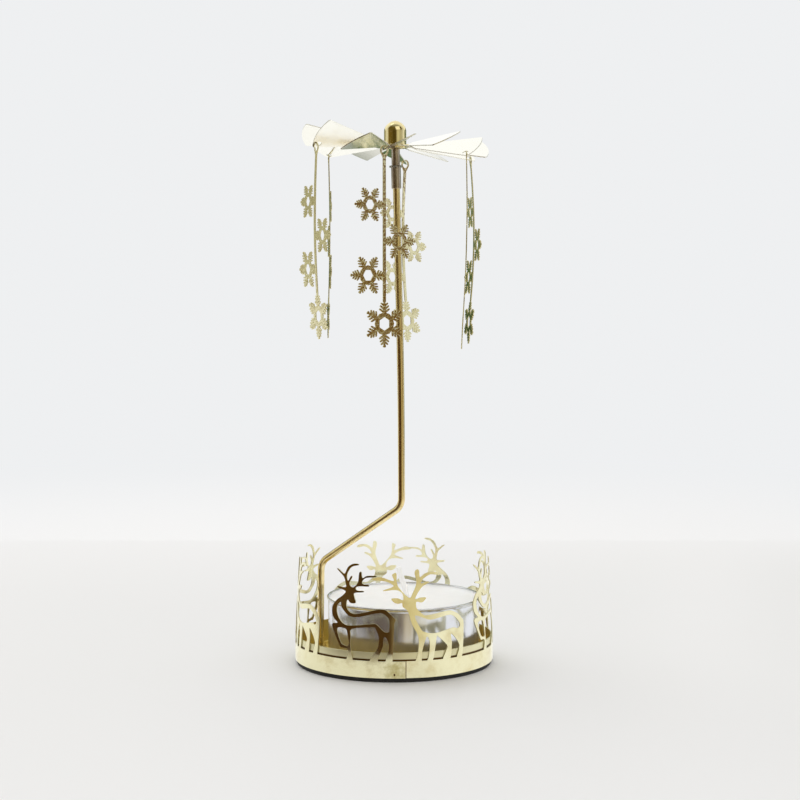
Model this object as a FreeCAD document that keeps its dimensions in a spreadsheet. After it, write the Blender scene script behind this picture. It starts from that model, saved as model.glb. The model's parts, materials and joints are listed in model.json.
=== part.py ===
# Angel chime carousel: a tealight in a gold pan with a band of reindeer, and a bent
# wire rod that carries a fan with six hanging strips of snowflakes on a needle point.
# Millimetres. The origin is the middle of the foot pad on the table, +Z is up, -Y is
# the front, and +X is to the right seen from the front.
import FreeCAD, Part
import math
import os
import re
import Sketcher

Vector = FreeCAD.Vector
Rotation = FreeCAD.Rotation
Placement = FreeCAD.Placement
UP = Vector(0, 0, 1)
ZERO = Vector(0, 0, 0)

doc = FreeCAD.newDocument("chime_carousel")

# The driving sizes, one row each: name, value in millimetres or degrees, or the sum
# that gives it from the sizes above it.
SIZES = [
    # tealight
    ("tealight_radius", 19.0),
    ("tealight_height", 15.0),
    ("tealight_offset", 2.4),
    ("cup_sheet", 0.2),
    ("cup_corner", 1.0),
    ("cup_rim", 0.35),
    ("wax_level_drop", 0.7),
    ("wax_fit", 0.05),
    ("wick_radius", 0.7),
    ("wick_offset", 0.9),
    ("wick_rise", 7.4),
    ("wick_lean", 1.9),
    ("sustainer_radius", 7.5),
    ("sustainer_sheet", 0.25),
    ("sustainer_neck", 4.0),
    # foot pad, pan and band; the band leaves room all round the tealight
    ("band_clearance", 3.0),
    ("pad_thickness", 1.05),
    ("pad_margin", 0.45),
    ("band_radius", "=tealight_radius + tealight_offset + band_clearance"),
    ("band_sheet", 0.25),
    ("strip_height", 4.0),
    ("stag_height", 22.5),
    ("band_fit", 0.05),
    ("pan_sheet", 0.3),
    ("pan_depth", 6.0),
    ("pan_corner", 0.6),
    # rod
    ("rod_radius", 0.85),
    ("rod_turn", 151.2),
    ("rod_foot_inset", 2.6),
    ("rod_foot_reach", "=band_radius - rod_foot_inset"),
    ("rod_leg_lean", 0.4),
    ("rod_low_bend_reach", "=rod_foot_reach - rod_leg_lean"),
    ("rod_low_bend_height", 22.9),
    ("rod_high_bend_offset", 1.78),
    ("rod_high_bend_height", 38.5),
    ("rod_bow_offset", 1.62),
    ("rod_bow_height", 69.0),
    ("rod_bend_radius", 2.2),
    ("rod_bow_radius", 60.0),
    ("rod_flange_radius", 1.5),
    ("rod_flange_height", 0.4),
    ("rivet_head_radius", 1.5),
    ("rivet_head_height", 0.5),
    ("rivet_clearance", 0.5),
    ("push_fit", 0.03),
    # sleeve, needle and bearing
    ("rotor_offset", 0.3),
    ("sleeve_radius", 1.18),
    ("sleeve_length", 5.1),
    ("sleeve_grip", 3.8),
    ("ring_radius", 1.62),
    ("ring_height", 0.45),
    ("holder_radius", 1.04),
    ("holder_length", 5.75),
    ("needle_radius", 0.3),
    ("needle_reach", 2.15),
    ("needle_seat", 3.0),
    ("needle_point", 0.9),
    ("point_gap", 0.05),
    ("bearing_height", 1.6),
    ("bearing_recess", 0.9),
    ("bearing_mouth", 0.9),
    # cap and fan
    ("fan_height", 126.35),
    ("fan_sheet", 0.25),
    ("hub_radius", 4.2),
    ("cap_radius", 2.7),
    ("cap_wall", 0.4),
    ("cap_body_height", 3.45),
    ("cap_flange", 0.25),
    ("cap_flange_height", 0.3),
    ("eyelet_radius", 2.25),
    ("eyelet_lip", 0.55),
    ("eyelet_lip_height", 0.3),
    ("petal_reach", 22.9),
    ("petal_corner_reach", 22.0),
    ("petal_root", 1.05),
    ("petal_tip", 8.9),
    ("petal_corner_round", 0.35),
    ("hole_radius", 0.72),
    ("hole_inset", 1.15),
    # hanging strips of snowflakes
    ("hanger_sheet", 0.25),
    ("hanger_strip", 0.8),
    ("eye_radius", 0.85),
    ("eye_wire", 0.38),
    ("eye_neck", 2.3),
    ("eye_play", 0.4),
    ("flake_1_drop", 12.5),
    ("flake_2_drop", 20.8),
    ("flake_3_drop", 28.7),
    ("flake_4_drop", 39.9),
    ("flake_1_radius", 4.3),
    ("flake_2_radius", 4.5),
    ("flake_3_radius", 4.8),
    ("flake_4_radius", 5.5),
]

sheet = doc.addObject("Spreadsheet::Sheet", "Sizes")
for row, (name, number) in enumerate(SIZES, start=1):
    sheet.set(f"A{row}", name)
    sheet.set(f"B{row}", str(number))
    sheet.setAlias(f"B{row}", name)
doc.recompute()
NAMES = [name for name, number in SIZES]


def size(expression):
    """The number that an expression of named sizes gives."""
    result = sheet.evalExpression(expression)
    return float(result.Value if hasattr(result, "Value") else result)


def bound(expression):
    """The same expression, as an object outside the sheet writes it."""
    return re.sub(r"[a-z][a-z_0-9]*", lambda word: "Sizes." + word.group(0)
                  if word.group(0) in NAMES else word.group(0), expression)


def new_body(label):
    body = doc.addObject("PartDesign::Body", label)
    body.Label = label
    return body


def new_sketch(body, role, name, rise=None):
    """A sketch on one of the body's own planes, raised along Z by an expression."""
    drawing = body.newObject("Sketcher::SketchObject", name)
    plane = next(item for item in body.Origin.OriginFeatures if item.Role == role)
    drawing.AttachmentSupport = (plane, "")
    drawing.MapMode = "FlatFace"
    if rise:
        drawing.setExpression("AttachmentOffset.Base.z", bound(rise))
    return drawing


def pin_point(drawing, geometry, end, across, along):
    """Holds one end of a line or arc at two expressions of named sizes."""
    for kind, axis, expression in (("DistanceX", -2, across), ("DistanceY", -1, along)):
        if expression == "0":
            drawing.addConstraint(Sketcher.Constraint("PointOnObject", geometry, end, axis))
        else:
            place = drawing.addConstraint(
                Sketcher.Constraint(kind, -1, 1, geometry, end, size(expression)))
            drawing.setExpression(f"Constraints[{place}]", bound(expression))


def draw_outline(drawing, outline):
    """A closed outline of (across, along) corners, given as expressions."""
    corners = [Vector(size(across), size(along), 0) for across, along in outline]
    for place, corner in enumerate(corners):
        drawing.addGeometry(Part.LineSegment(corners[place - 1], corner), False)
    for place, item in enumerate(outline):
        following = (place + 1) % len(outline)
        ends = [end_at(drawing, place, corners[place]),
                end_at(drawing, following, corners[place])]
        drawing.addConstraint(Sketcher.Constraint(
            "Coincident", place, ends[0], following, ends[1]))
        pin_point(drawing, place, ends[0], *item)


def end_at(drawing, geometry, corner):
    """Which end of a line or arc, 1 for its start and 2 for its end, is at a corner."""
    start = drawing.getPoint(geometry, 1)
    finish = drawing.getPoint(geometry, 2)
    return 1 if start.distanceToPoint(corner) < finish.distanceToPoint(corner) else 2


def turned_body(label, outline):
    """A body turned about its own Z axis from half of its section."""
    body = new_body(label)
    drawing = new_sketch(body, "XZ_Plane", label + "_section")
    draw_outline(drawing, outline)
    turning = body.newObject("PartDesign::Revolution", label + "_turning")
    turning.Profile = drawing
    turning.ReferenceAxis = (drawing, ["V_Axis"])
    turning.Angle = 360
    body.Tip = turning
    return body


def round_drawing(body, name, across, along, radius, rise=None):
    """A sketch of one circle, its middle and radius given by expressions."""
    drawing = new_sketch(body, "XY_Plane", name, rise)
    middle = Vector(size(across), size(along), 0)
    drawing.addGeometry(Part.Circle(middle, UP, size(radius)), False)
    pin_point(drawing, 0, 3, across, along)
    turn = drawing.addConstraint(Sketcher.Constraint("Radius", 0, size(radius)))
    drawing.setExpression(f"Constraints[{turn}]", bound(radius))
    return drawing


def cut_round_hole(body, name, across, along, radius):
    """A round hole right through the body along Z, checked by its volume."""
    doc.recompute()
    whole = body.Shape.Volume
    hole = body.newObject("PartDesign::Pocket", name)
    hole.Profile = round_drawing(body, name + "_place", across, along, radius)
    hole.Type = 1
    hole.Midplane = True
    body.Tip = hole
    doc.recompute()
    if body.Shape.Volume >= whole:
        raise ValueError(name + " cut nothing")


def add_disc(body, name, across, along, rise, radius, height):
    """A round disc on a body, from a height upwards."""
    disc = body.newObject("PartDesign::Pad", name)
    disc.Profile = round_drawing(body, name + "_place", across, along, radius, rise)
    disc.setExpression("Length", bound(height))
    body.Tip = disc


def rounded_path(corners, radii):
    """Straight runs through corners in one plane, joined by tangent arcs."""
    pieces = []
    last = corners[0]
    for place, radius in enumerate(radii, start=1):
        corner = corners[place]
        back = (corners[place - 1] - corner).normalize()
        ahead = (corners[place + 1] - corner).normalize()
        half_turn = (math.pi - back.getAngle(ahead)) / 2
        reach = radius * math.tan(half_turn)
        inward = (back + ahead).normalize()
        middle = corner + inward * (radius / math.cos(half_turn) - radius)
        start = corner + back * reach
        finish = corner + ahead * reach
        pieces.append(Part.LineSegment(last, start))
        pieces.append(Part.Arc(start, middle, finish))
        last = finish
    pieces.append(Part.LineSegment(last, corners[-1]))
    return pieces


def piped_body(label, corners, radii, radius):
    """A round wire along a path of (across, height) corners in the body's XZ plane.

    The corners are pairs of expressions, held in the path's drawing as built points.
    """
    body = new_body(label)
    path = new_sketch(body, "XZ_Plane", label + "_path")
    points = [Vector(size(across), size(along), 0) for across, along in corners]
    pieces = rounded_path(points, [size(item) for item in radii])
    for curve in pieces:
        path.addGeometry(curve, False)
    last = len(pieces) - 1
    for place in range(last):
        meeting = pieces[place].EndPoint if place % 2 == 0 else pieces[place + 1].StartPoint
        path.addConstraint(Sketcher.Constraint(
            "Tangent", place, end_at(path, place, meeting),
            place + 1, end_at(path, place + 1, meeting)))
    for place, item in enumerate(radii):
        turn = path.addConstraint(
            Sketcher.Constraint("Radius", 2 * place + 1, size(item)))
        path.setExpression(f"Constraints[{turn}]", bound(item))
    for place, corner in enumerate(points[1:-1]):
        path.addGeometry(Part.Point(corner), True)
        built = last + 1 + place
        pin_point(path, built, 1, *corners[place + 1])
        path.addConstraint(Sketcher.Constraint("PointOnObject", built, 1, 2 * place))
        path.addConstraint(Sketcher.Constraint("PointOnObject", built, 1, 2 * place + 2))
    pin_point(path, 0, end_at(path, 0, points[0]), *corners[0])
    pin_point(path, last, end_at(path, last, points[-1]), *corners[-1])
    section = round_drawing(body, label + "_section", corners[0][0], "0", radius,
                            None if corners[0][1] == "0" else corners[0][1])
    pipe = body.newObject("PartDesign::AdditivePipe", label + "_pipe")
    pipe.Profile = section
    pipe.Spine = path
    body.Tip = pipe
    return body


def solid_part(label, shape, place=None):
    """A sub-part whose shape is worked out here from the named sizes."""
    piece = doc.addObject("Part::Feature", label)
    piece.Label = label
    piece.Shape = shape
    piece.Placement = place or Placement()
    return piece


def flat_plate(corners, thickness, holes=()):
    """A plate of even thickness about its own XY plane, with cut-outs."""
    lift = Vector(0, 0, -thickness / 2)
    face = Part.Face(Part.makePolygon([corner + lift for corner in corners + corners[:1]]))
    plate = face.extrude(UP * thickness)
    for hole in holes:
        drop = Vector(0, 0, -thickness)
        cutter = Part.Face(Part.makePolygon([corner + drop for corner in hole + hole[:1]]))
        plate = plate.cut(cutter.extrude(UP * (2 * thickness)))
    return plate


# The foot pad: a thin black foam disc under the pan, open round the rod's rivet head.
rod_foot_x = "rotor_offset + rod_foot_reach * cos(rod_turn)"
rod_foot_y = "rod_foot_reach * sin(rod_turn)"
foot_pad = turned_body("foot_pad", [
    ("0", "0"),
    ("band_radius - pad_margin", "0"),
    ("band_radius - pad_margin", "pad_thickness"),
    ("0", "pad_thickness"),
])
cut_round_hole(foot_pad, "rivet_opening", rod_foot_x, rod_foot_y,
               "rivet_head_radius + rivet_clearance")

# The pan: one shallow pressed dish of gold sheet with a rounded bottom corner, pierced
# where the rod's foot is riveted through its floor.
pan_outside = "band_radius - band_sheet - band_fit"
base_pan = turned_body("base_pan", [
    ("0", "pad_thickness"),
    (pan_outside + " - pan_corner", "pad_thickness"),
    (pan_outside, "pad_thickness + pan_corner"),
    (pan_outside, "pad_thickness + pan_depth"),
    (pan_outside + " - pan_sheet", "pad_thickness + pan_depth"),
    (pan_outside + " - pan_sheet", "pad_thickness + pan_corner + pan_sheet / 3"),
    (pan_outside + " - pan_corner - pan_sheet / 3", "pad_thickness + pan_sheet"),
    ("0", "pad_thickness + pan_sheet"),
])
cut_round_hole(base_pan, "rod_opening", rod_foot_x, rod_foot_y, "rod_radius + push_fit")

# The reindeer band: one etched strip, rolled round the pan, its top edge cut out as
# four pairs of reindeer. A pair is one that looks back over its shoulder and one that
# faces out. The points are shares of the stags' height, across from the middle of each
# stag and up from the strip's top edge, counter-clockwise from the front hoof.
BACK_LOOKING_STAG_SHARES = [
    (-0.153, -0.018), (-0.131, 0.067), (-0.144, 0.111), (-0.211, 0.118),
    (-0.236, 0.138), (-0.342, 0.342), (-0.271, 0.369), (-0.324, 0.418),
    (-0.347, 0.480), (-0.342, 0.540), (-0.298, 0.604), (-0.220, 0.662),
    (-0.187, 0.709), (-0.284, 0.736), (-0.284, 0.753), (-0.187, 0.747),
    (-0.191, 0.796), (-0.216, 0.858), (-0.304, 0.927), (-0.287, 0.931),
    (-0.220, 0.889), (-0.196, 0.902), (-0.169, 0.958), (-0.111, 0.996),
    (-0.049, 1.000), (-0.036, 0.987), (-0.111, 0.969), (-0.151, 0.931),
    (-0.176, 0.878), (-0.171, 0.829), (-0.153, 0.822), (-0.131, 0.864),
    (-0.109, 0.864), (-0.140, 0.800), (-0.131, 0.767), (-0.096, 0.753),
    (-0.056, 0.784), (-0.036, 0.829), (-0.029, 0.907), (-0.004, 0.916),
    (0.011, 0.856), (0.060, 0.880), (0.160, 0.883), (0.160, 0.871),
    (0.060, 0.860), (0.022, 0.838), (0.007, 0.807), (0.029, 0.791),
    (0.082, 0.787), (0.082, 0.771), (-0.024, 0.769), (-0.064, 0.751),
    (-0.049, 0.724), (0.022, 0.722), (0.022, 0.709), (-0.078, 0.696),
    (-0.078, 0.653), (-0.060, 0.596), (-0.120, 0.589), (-0.153, 0.622),
    (-0.169, 0.602), (-0.169, 0.551), (-0.144, 0.509), (-0.096, 0.484),
    (-0.031, 0.484), (0.178, 0.536), (0.249, 0.538), (0.291, 0.518),
    (0.393, 0.413), (0.360, 0.396), (0.340, -0.018), (0.280, -0.018),
    (0.271, 0.000), (0.302, 0.107), (0.305, 0.171), (0.291, 0.222),
    (0.264, 0.257), (0.249, 0.220), (0.244, 0.156), (0.193, 0.018),
    (0.191, -0.018), (0.098, -0.018), (0.178, 0.111), (0.200, 0.176),
    (0.202, 0.249), (0.171, 0.333), (0.133, 0.351), (-0.096, 0.322),
    (-0.109, 0.244), (-0.109, 0.142), (-0.080, -0.018),
]
BACK_LOOKING_CUTOUT_SHARES = [
    [(-0.241, 0.588), (-0.280, 0.555), (-0.288, 0.503), (-0.271, 0.446),
     (-0.228, 0.392), (-0.177, 0.361), (-0.104, 0.357), (0.134, 0.387),
     (0.178, 0.381), (0.249, 0.315), (0.284, 0.304), (0.309, 0.323),
     (0.309, 0.424), (0.284, 0.467), (0.242, 0.495), (0.192, 0.501),
     (-0.017, 0.451), (-0.096, 0.448), (-0.153, 0.465), (-0.228, 0.538)],
    [(-0.275, 0.311), (-0.228, 0.181), (-0.194, 0.149), (-0.128, 0.148),
     (-0.148, 0.277), (-0.177, 0.321)],
]
FACING_STAG_SHARES = [
    (-0.131, -0.018), (-0.102, 0.078), (-0.098, 0.251), (-0.164, 0.384),
    (-0.209, 0.522), (-0.262, 0.569), (-0.269, 0.611), (-0.307, 0.604),
    (-0.349, 0.618), (-0.376, 0.658), (-0.313, 0.662), (-0.258, 0.640),
    (-0.264, 0.704), (-0.307, 0.742), (-0.369, 0.749), (-0.444, 0.740),
    (-0.447, 0.751), (-0.358, 0.784), (-0.376, 0.813), (-0.436, 0.842),
    (-0.538, 0.858), (-0.538, 0.876), (-0.476, 0.887), (-0.376, 0.847),
    (-0.351, 0.851), (-0.369, 0.904), (-0.349, 0.922), (-0.324, 0.916),
    (-0.313, 0.791), (-0.198, 0.664), (-0.158, 0.709), (-0.118, 0.816),
    (-0.136, 0.911), (-0.129, 0.947), (-0.102, 0.958), (-0.089, 0.938),
    (-0.084, 0.880), (-0.069, 0.880), (-0.024, 0.913), (0.038, 0.927),
    (0.102, 0.920), (0.124, 0.900), (0.102, 0.891), (0.031, 0.900),
    (-0.031, 0.869), (-0.062, 0.836), (-0.069, 0.807), (0.000, 0.829),
    (0.018, 0.816), (-0.053, 0.778), (-0.107, 0.707), (-0.131, 0.647),
    (-0.078, 0.662), (-0.016, 0.660), (-0.040, 0.624), (-0.069, 0.611),
    (-0.118, 0.620), (-0.122, 0.578), (-0.107, 0.540), (-0.040, 0.480),
    (0.022, 0.476), (0.233, 0.504), (0.302, 0.491), (0.364, 0.458),
    (0.411, 0.407), (0.438, 0.336), (0.413, -0.018), (0.342, -0.018),
    (0.382, 0.124), (0.276, 0.260), (0.284, 0.153), (0.260, -0.018),
    (0.173, -0.018), (0.216, 0.089), (0.224, 0.144), (0.118, 0.244),
    (0.102, 0.231), (0.056, -0.018), (-0.013, -0.018), (0.007, 0.020),
    (0.022, 0.107), (0.022, 0.200), (-0.011, 0.249), (-0.062, 0.082),
    (-0.067, -0.018),
]
FACING_CUTOUT_SHARES = [
    [(-0.136, 0.477), (-0.069, 0.329), (-0.024, 0.298), (0.054, 0.281),
     (0.134, 0.286), (0.302, 0.319), (0.356, 0.304), (0.388, 0.322),
     (0.383, 0.359), (0.347, 0.408), (0.293, 0.448), (0.233, 0.458),
     (0.085, 0.431), (0.007, 0.430)],
]
STAGS_PER_SIDE = (
    (-19.0, BACK_LOOKING_STAG_SHARES, BACK_LOOKING_CUTOUT_SHARES),
    (19.0, FACING_STAG_SHARES, FACING_CUTOUT_SHARES),
)
SIDES = 4
RING_STEP = 360 / SIDES
FLATS_PER_SIDE = 12


def around(radius, angle, middle):
    """The point at a radius and an angle about a middle."""
    turn = math.radians(angle)
    return middle + Vector(math.cos(turn), math.sin(turn), 0) * radius


def rolled_flats(radius, height, low):
    """A prism that follows the rolled strip in short flats, half in and half out of it.

    The stags are cut from flats, so that every cut edge is a straight line.
    """
    step = RING_STEP / FLATS_PER_SIDE
    corner_reach = radius / math.sqrt(math.cos(math.radians(step / 2)))
    corners = [around(corner_reach, place * step, Vector(0, 0, low))
               for place in range(SIDES * FLATS_PER_SIDE)]
    return Part.Face(Part.makePolygon(corners + corners[:1])).extrude(UP * height)


def stag_solid(azimuth, outline_shares, cutout_shares):
    """One stag: its flat outline pushed through the rolled strip along its own normal."""
    outside = size("band_radius")
    stag_height = size("stag_height")
    foot = size("pad_thickness + strip_height")

    def upright(shares):
        return [Vector(across * stag_height, up * stag_height, 0) for across, up in shares]

    plate = flat_plate(upright(outline_shares), 2 * outside,
                       [upright(shares) for shares in cutout_shares])
    plate.rotate(ZERO, Vector(1, 0, 0), 90)
    plate.translate(Vector(0, -outside, foot))
    roll = rolled_flats(outside, stag_height, foot)
    roll = roll.cut(rolled_flats(size("band_radius - band_sheet"), stag_height, foot))
    stag = plate.common(roll)
    stag.rotate(ZERO, UP, azimuth)
    return stag


strip = Part.makeCylinder(size("band_radius"), size("strip_height"),
                          Vector(0, 0, size("pad_thickness")))
strip = strip.cut(Part.makeCylinder(size("band_radius - band_sheet"),
                                    size("strip_height"),
                                    Vector(0, 0, size("pad_thickness"))))
stags = []
for stag_azimuth, outline, cutouts in STAGS_PER_SIDE:
    stag = stag_solid(stag_azimuth, outline, cutouts)
    for side in range(SIDES):
        turned = stag.copy()
        turned.rotate(ZERO, UP, side * RING_STEP)
        stags.append(turned)
reindeer_band = solid_part("reindeer_band", strip.fuse(stags).removeSplitter())

# The tealight: a pressed aluminium cup with a rolled rim, its wax, and a wick held by
# a small metal foot. It stands loose on the pan's floor, a little right of the middle.
tealight_place = Placement(
    Vector(size("tealight_offset"), 0, size("pad_thickness + pan_sheet")), Rotation())
tealight_cup = turned_body("tealight_cup", [
    ("0", "0"),
    ("tealight_radius - cup_rim - cup_corner", "0"),
    ("tealight_radius - cup_rim", "cup_corner"),
    ("tealight_radius - cup_rim", "tealight_height - 2 * cup_rim"),
    ("tealight_radius", "tealight_height - cup_rim * 3 / 2"),
    ("tealight_radius", "tealight_height - cup_rim / 2"),
    ("tealight_radius - cup_rim / 2", "tealight_height"),
    ("tealight_radius - cup_rim - cup_sheet", "tealight_height"),
    ("tealight_radius - cup_rim - cup_sheet", "cup_corner + cup_sheet / 3"),
    ("tealight_radius - cup_rim - cup_corner - cup_sheet / 3", "cup_sheet"),
    ("0", "cup_sheet"),
])
tealight_cup.Placement = tealight_place

wax_side = "tealight_radius - cup_rim - cup_sheet - wax_fit"
candle_wax = turned_body("candle_wax", [
    ("0", "cup_sheet"),
    (wax_side + " - cup_corner", "cup_sheet"),
    (wax_side, "cup_corner + cup_sheet + wax_fit"),
    (wax_side, "tealight_height - wax_level_drop"),
    ("0", "tealight_height - wax_level_drop"),
])
candle_wax.Placement = tealight_place
cut_round_hole(candle_wax, "wick_opening", "wick_offset", "0", "wick_radius + push_fit")

# The wick's metal foot is a disc with a short neck, moulded into the bottom of the wax.
neck_outside = "wick_radius + push_fit + sustainer_sheet"
wick_sustainer = turned_body("wick_sustainer", [
    ("wick_radius + push_fit", "0"),
    ("sustainer_radius", "0"),
    ("sustainer_radius", "sustainer_sheet"),
    (neck_outside, "sustainer_sheet"),
    (neck_outside, "sustainer_neck"),
    ("wick_radius + push_fit", "sustainer_neck"),
])
wick_place = tealight_place.Base + Vector(size("wick_offset"), 0, size("cup_sheet"))
wick_sustainer.Placement = Placement(wick_place, Rotation())
doc.recompute()
foot_space = new_body("wick_foot_space")
add_disc(foot_space, "wick_foot_disc", "wick_offset", "0", "cup_sheet",
         "sustainer_radius + wax_fit", "sustainer_sheet + wax_fit")
add_disc(foot_space, "wick_foot_neck", "wick_offset", "0", "cup_sheet",
         neck_outside + " + wax_fit", "sustainer_neck + wax_fit")
moulding = candle_wax.newObject("PartDesign::Boolean", "wick_foot_moulding")
moulding.Type = "Cut"
moulding.addObject(foot_space)
candle_wax.Tip = moulding

wick_bend = "tealight_height - wax_level_drop"
candle_wick = piped_body("candle_wick", [
    ("0", "0"),
    ("0", wick_bend),
    ("0 - wick_lean", wick_bend + " + wick_rise"),
], ["3 * wick_radius"], "wick_radius")
candle_wick.Placement = Placement(wick_place, Rotation())

# The rod: one bent gold wire. Its foot is riveted through the pan behind the tealight
# on the left, it leans over the flame and then rises to the needle, slightly bowed.
# Its own X axis runs from the needle's axis towards the foot.
hub_top = "fan_height + fan_sheet / 2"
bearing_low = hub_top + " + cap_body_height - bearing_height"
point_height = bearing_low + " + bearing_recess - point_gap"
rod_lean = math.atan2(size("rod_bow_offset"), size(point_height) - size("rod_bow_height"))
rod_end_drop = "(needle_reach + holder_length + sleeve_length - sleeve_grip)"
rod_end_run = f"{rod_end_drop} / ({point_height} - rod_bow_height)"
support_rod = piped_body("support_rod", [
    ("rod_foot_reach", "pad_thickness - rivet_head_height"),
    ("rod_low_bend_reach", "rod_low_bend_height"),
    ("0 - rod_high_bend_offset", "rod_high_bend_height"),
    ("0 - rod_bow_offset", "rod_bow_height"),
    (f"0 - rod_bow_offset * {rod_end_run}", f"{point_height} - {rod_end_drop}"),
], ["rod_bend_radius", "rod_bend_radius", "rod_bow_radius"], "rod_radius")
add_disc(support_rod, "rivet_head", "rod_foot_reach", "0",
         "pad_thickness - rivet_head_height", "rivet_head_radius", "rivet_head_height")
add_disc(support_rod, "rod_flange", "rod_foot_reach", "0", "pad_thickness + pan_sheet",
         "rod_flange_radius", "rod_flange_height")
support_rod.Placement = Placement(Vector(size("rotor_offset"), 0, 0),
                                  Rotation(UP, size("rod_turn")))

# The parts on the rod's top share its lean. Their own origin is the needle's point.
toward_foot = Rotation(UP, size("rod_turn")).multVec(Vector(1, 0, 0))
rotor_base = Vector(size("rotor_offset"), 0, 0)
lean_place = Placement(rotor_base + UP * size(point_height),
                       Rotation(UP.cross(toward_foot), math.degrees(rod_lean)))
holder_low = "0 - needle_reach - holder_length"
sleeve_low = holder_low + " - sleeve_length"
pivot_sleeve = turned_body("pivot_sleeve", [
    ("rod_radius + push_fit", sleeve_low),
    ("sleeve_radius", sleeve_low),
    ("sleeve_radius", holder_low),
    ("rod_radius + push_fit", holder_low),
])
needle_holder = turned_body("needle_holder", [
    ("0", holder_low + " - sleeve_length + sleeve_grip + push_fit"),
    ("rod_radius", holder_low + " - sleeve_length + sleeve_grip + push_fit"),
    ("rod_radius", holder_low),
    ("holder_radius", holder_low),
    ("holder_radius", "0 - needle_reach - needle_radius"),
    ("holder_radius - needle_radius", "0 - needle_reach"),
    ("needle_radius", "0 - needle_reach"),
    ("needle_radius", "0 - needle_reach - needle_seat"),
    ("0", "0 - needle_reach - needle_seat"),
])
sleeve_ring = turned_body("sleeve_ring", [
    ("holder_radius + push_fit", holder_low),
    ("ring_radius - ring_height / 4", holder_low),
    ("ring_radius", holder_low + " + ring_height / 4"),
    ("ring_radius", holder_low + " + ring_height * 3 / 4"),
    ("ring_radius - ring_height / 4", holder_low + " + ring_height"),
    ("holder_radius + push_fit", holder_low + " + ring_height"),
])
pivot_needle = turned_body("pivot_needle", [
    ("0", "0 - needle_reach - needle_seat"),
    ("needle_radius", "0 - needle_reach - needle_seat"),
    ("needle_radius", "0 - needle_point"),
    ("0", "0"),
])
for piece in (pivot_sleeve, needle_holder, sleeve_ring, pivot_needle):
    piece.Placement = lean_place

# The cap: a turned brass thimble whose lower edge goes through the fan as an eyelet
# and is rolled over below it, with the bearing cup pressed up inside.
rotor_place = Placement(rotor_base, Rotation())
cap_foot = "fan_height - fan_sheet / 2"
dome_low = hub_top + " + cap_body_height"
DOME_STEPS = 5
dome = []
for step in range(1, DOME_STEPS):
    climb = step * 90 / DOME_STEPS
    dome.append((f"cap_radius * cos({climb})", f"{dome_low} + cap_radius * sin({climb})"))
rotor_cap = turned_body("rotor_cap", [
    ("eyelet_radius - cap_wall", cap_foot + " - eyelet_lip_height"),
    ("eyelet_radius + eyelet_lip", cap_foot + " - eyelet_lip_height"),
    ("eyelet_radius + eyelet_lip", cap_foot),
    ("eyelet_radius", cap_foot),
    ("eyelet_radius", hub_top),
    ("cap_radius + cap_flange", hub_top),
    ("cap_radius + cap_flange", hub_top + " + cap_flange_height"),
    ("cap_radius", hub_top + " + cap_flange_height"),
    ("cap_radius", dome_low),
    *dome,
    ("0", dome_low + " + cap_radius"),
    ("0", dome_low),
    ("cap_radius - cap_wall", dome_low),
    ("cap_radius - cap_wall", hub_top + " + cap_flange_height"),
    ("eyelet_radius - cap_wall", hub_top),
])
bearing_cup = turned_body("bearing_cup", [
    ("bearing_mouth", bearing_low),
    ("cap_radius - cap_wall - push_fit", bearing_low),
    ("cap_radius - cap_wall - push_fit", dome_low),
    ("0", dome_low),
    ("0", bearing_low + " + bearing_recess"),
])
rotor_cap.Placement = rotor_place
bearing_cup.Placement = rotor_place

# The fan: one etched brass sheet, a hub disc with twelve petals bent by hand, so each
# petal has its own pitch about its length, its own lift and its own small turn.
PETALS = 12
FIRST_PETAL = 2.5
PETAL_STEP = 360 / PETALS
PETAL_PITCH = (26, 24, 33, 29, 36, 28, 25, 23, 22, 31, 42, 24)
PETAL_LIFT = (-2, 1, -2.5, -1.6, -0.5, -0.8, -2.2, 0, 0.5, 7.5, 5, -1)
PETAL_TURN = (0, 1, -3, 3.5, 3, 0, 0, -3, -3, -4, 4.5, 3)
HANGER_EVERY = 2
EYE_SHIFT_SHARE = 0.8


def petal_place(petal):
    """From a petal's own frame, X outwards and Y anticlockwise, to the part's frame."""
    azimuth = FIRST_PETAL + petal * PETAL_STEP + PETAL_TURN[petal]
    pitch = Rotation(Vector(1, 0, 0), PETAL_PITCH[petal])
    lift = Rotation(Vector(0, 1, 0), -PETAL_LIFT[petal])
    turn = Rotation(UP, azimuth - 90)
    middle = rotor_base + UP * size("fan_height")
    return Placement(middle, turn.multiply(lift).multiply(pitch))


def side_slope():
    """The angle between a petal's length and its side edge."""
    run = size("petal_corner_reach - hub_radius")
    return math.atan2(size("petal_tip - petal_root") / 2, run)


def hole_middle():
    """The hanger's hole, one inset from the low side edge and one from the end."""
    slope = side_slope()
    inset = size("hole_inset")
    outward = size("petal_corner_reach") - inset
    half_width = size("petal_tip") / 2 - inset * math.tan(slope)
    return Vector(outward, -(half_width - inset / math.cos(slope)), 0)


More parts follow.
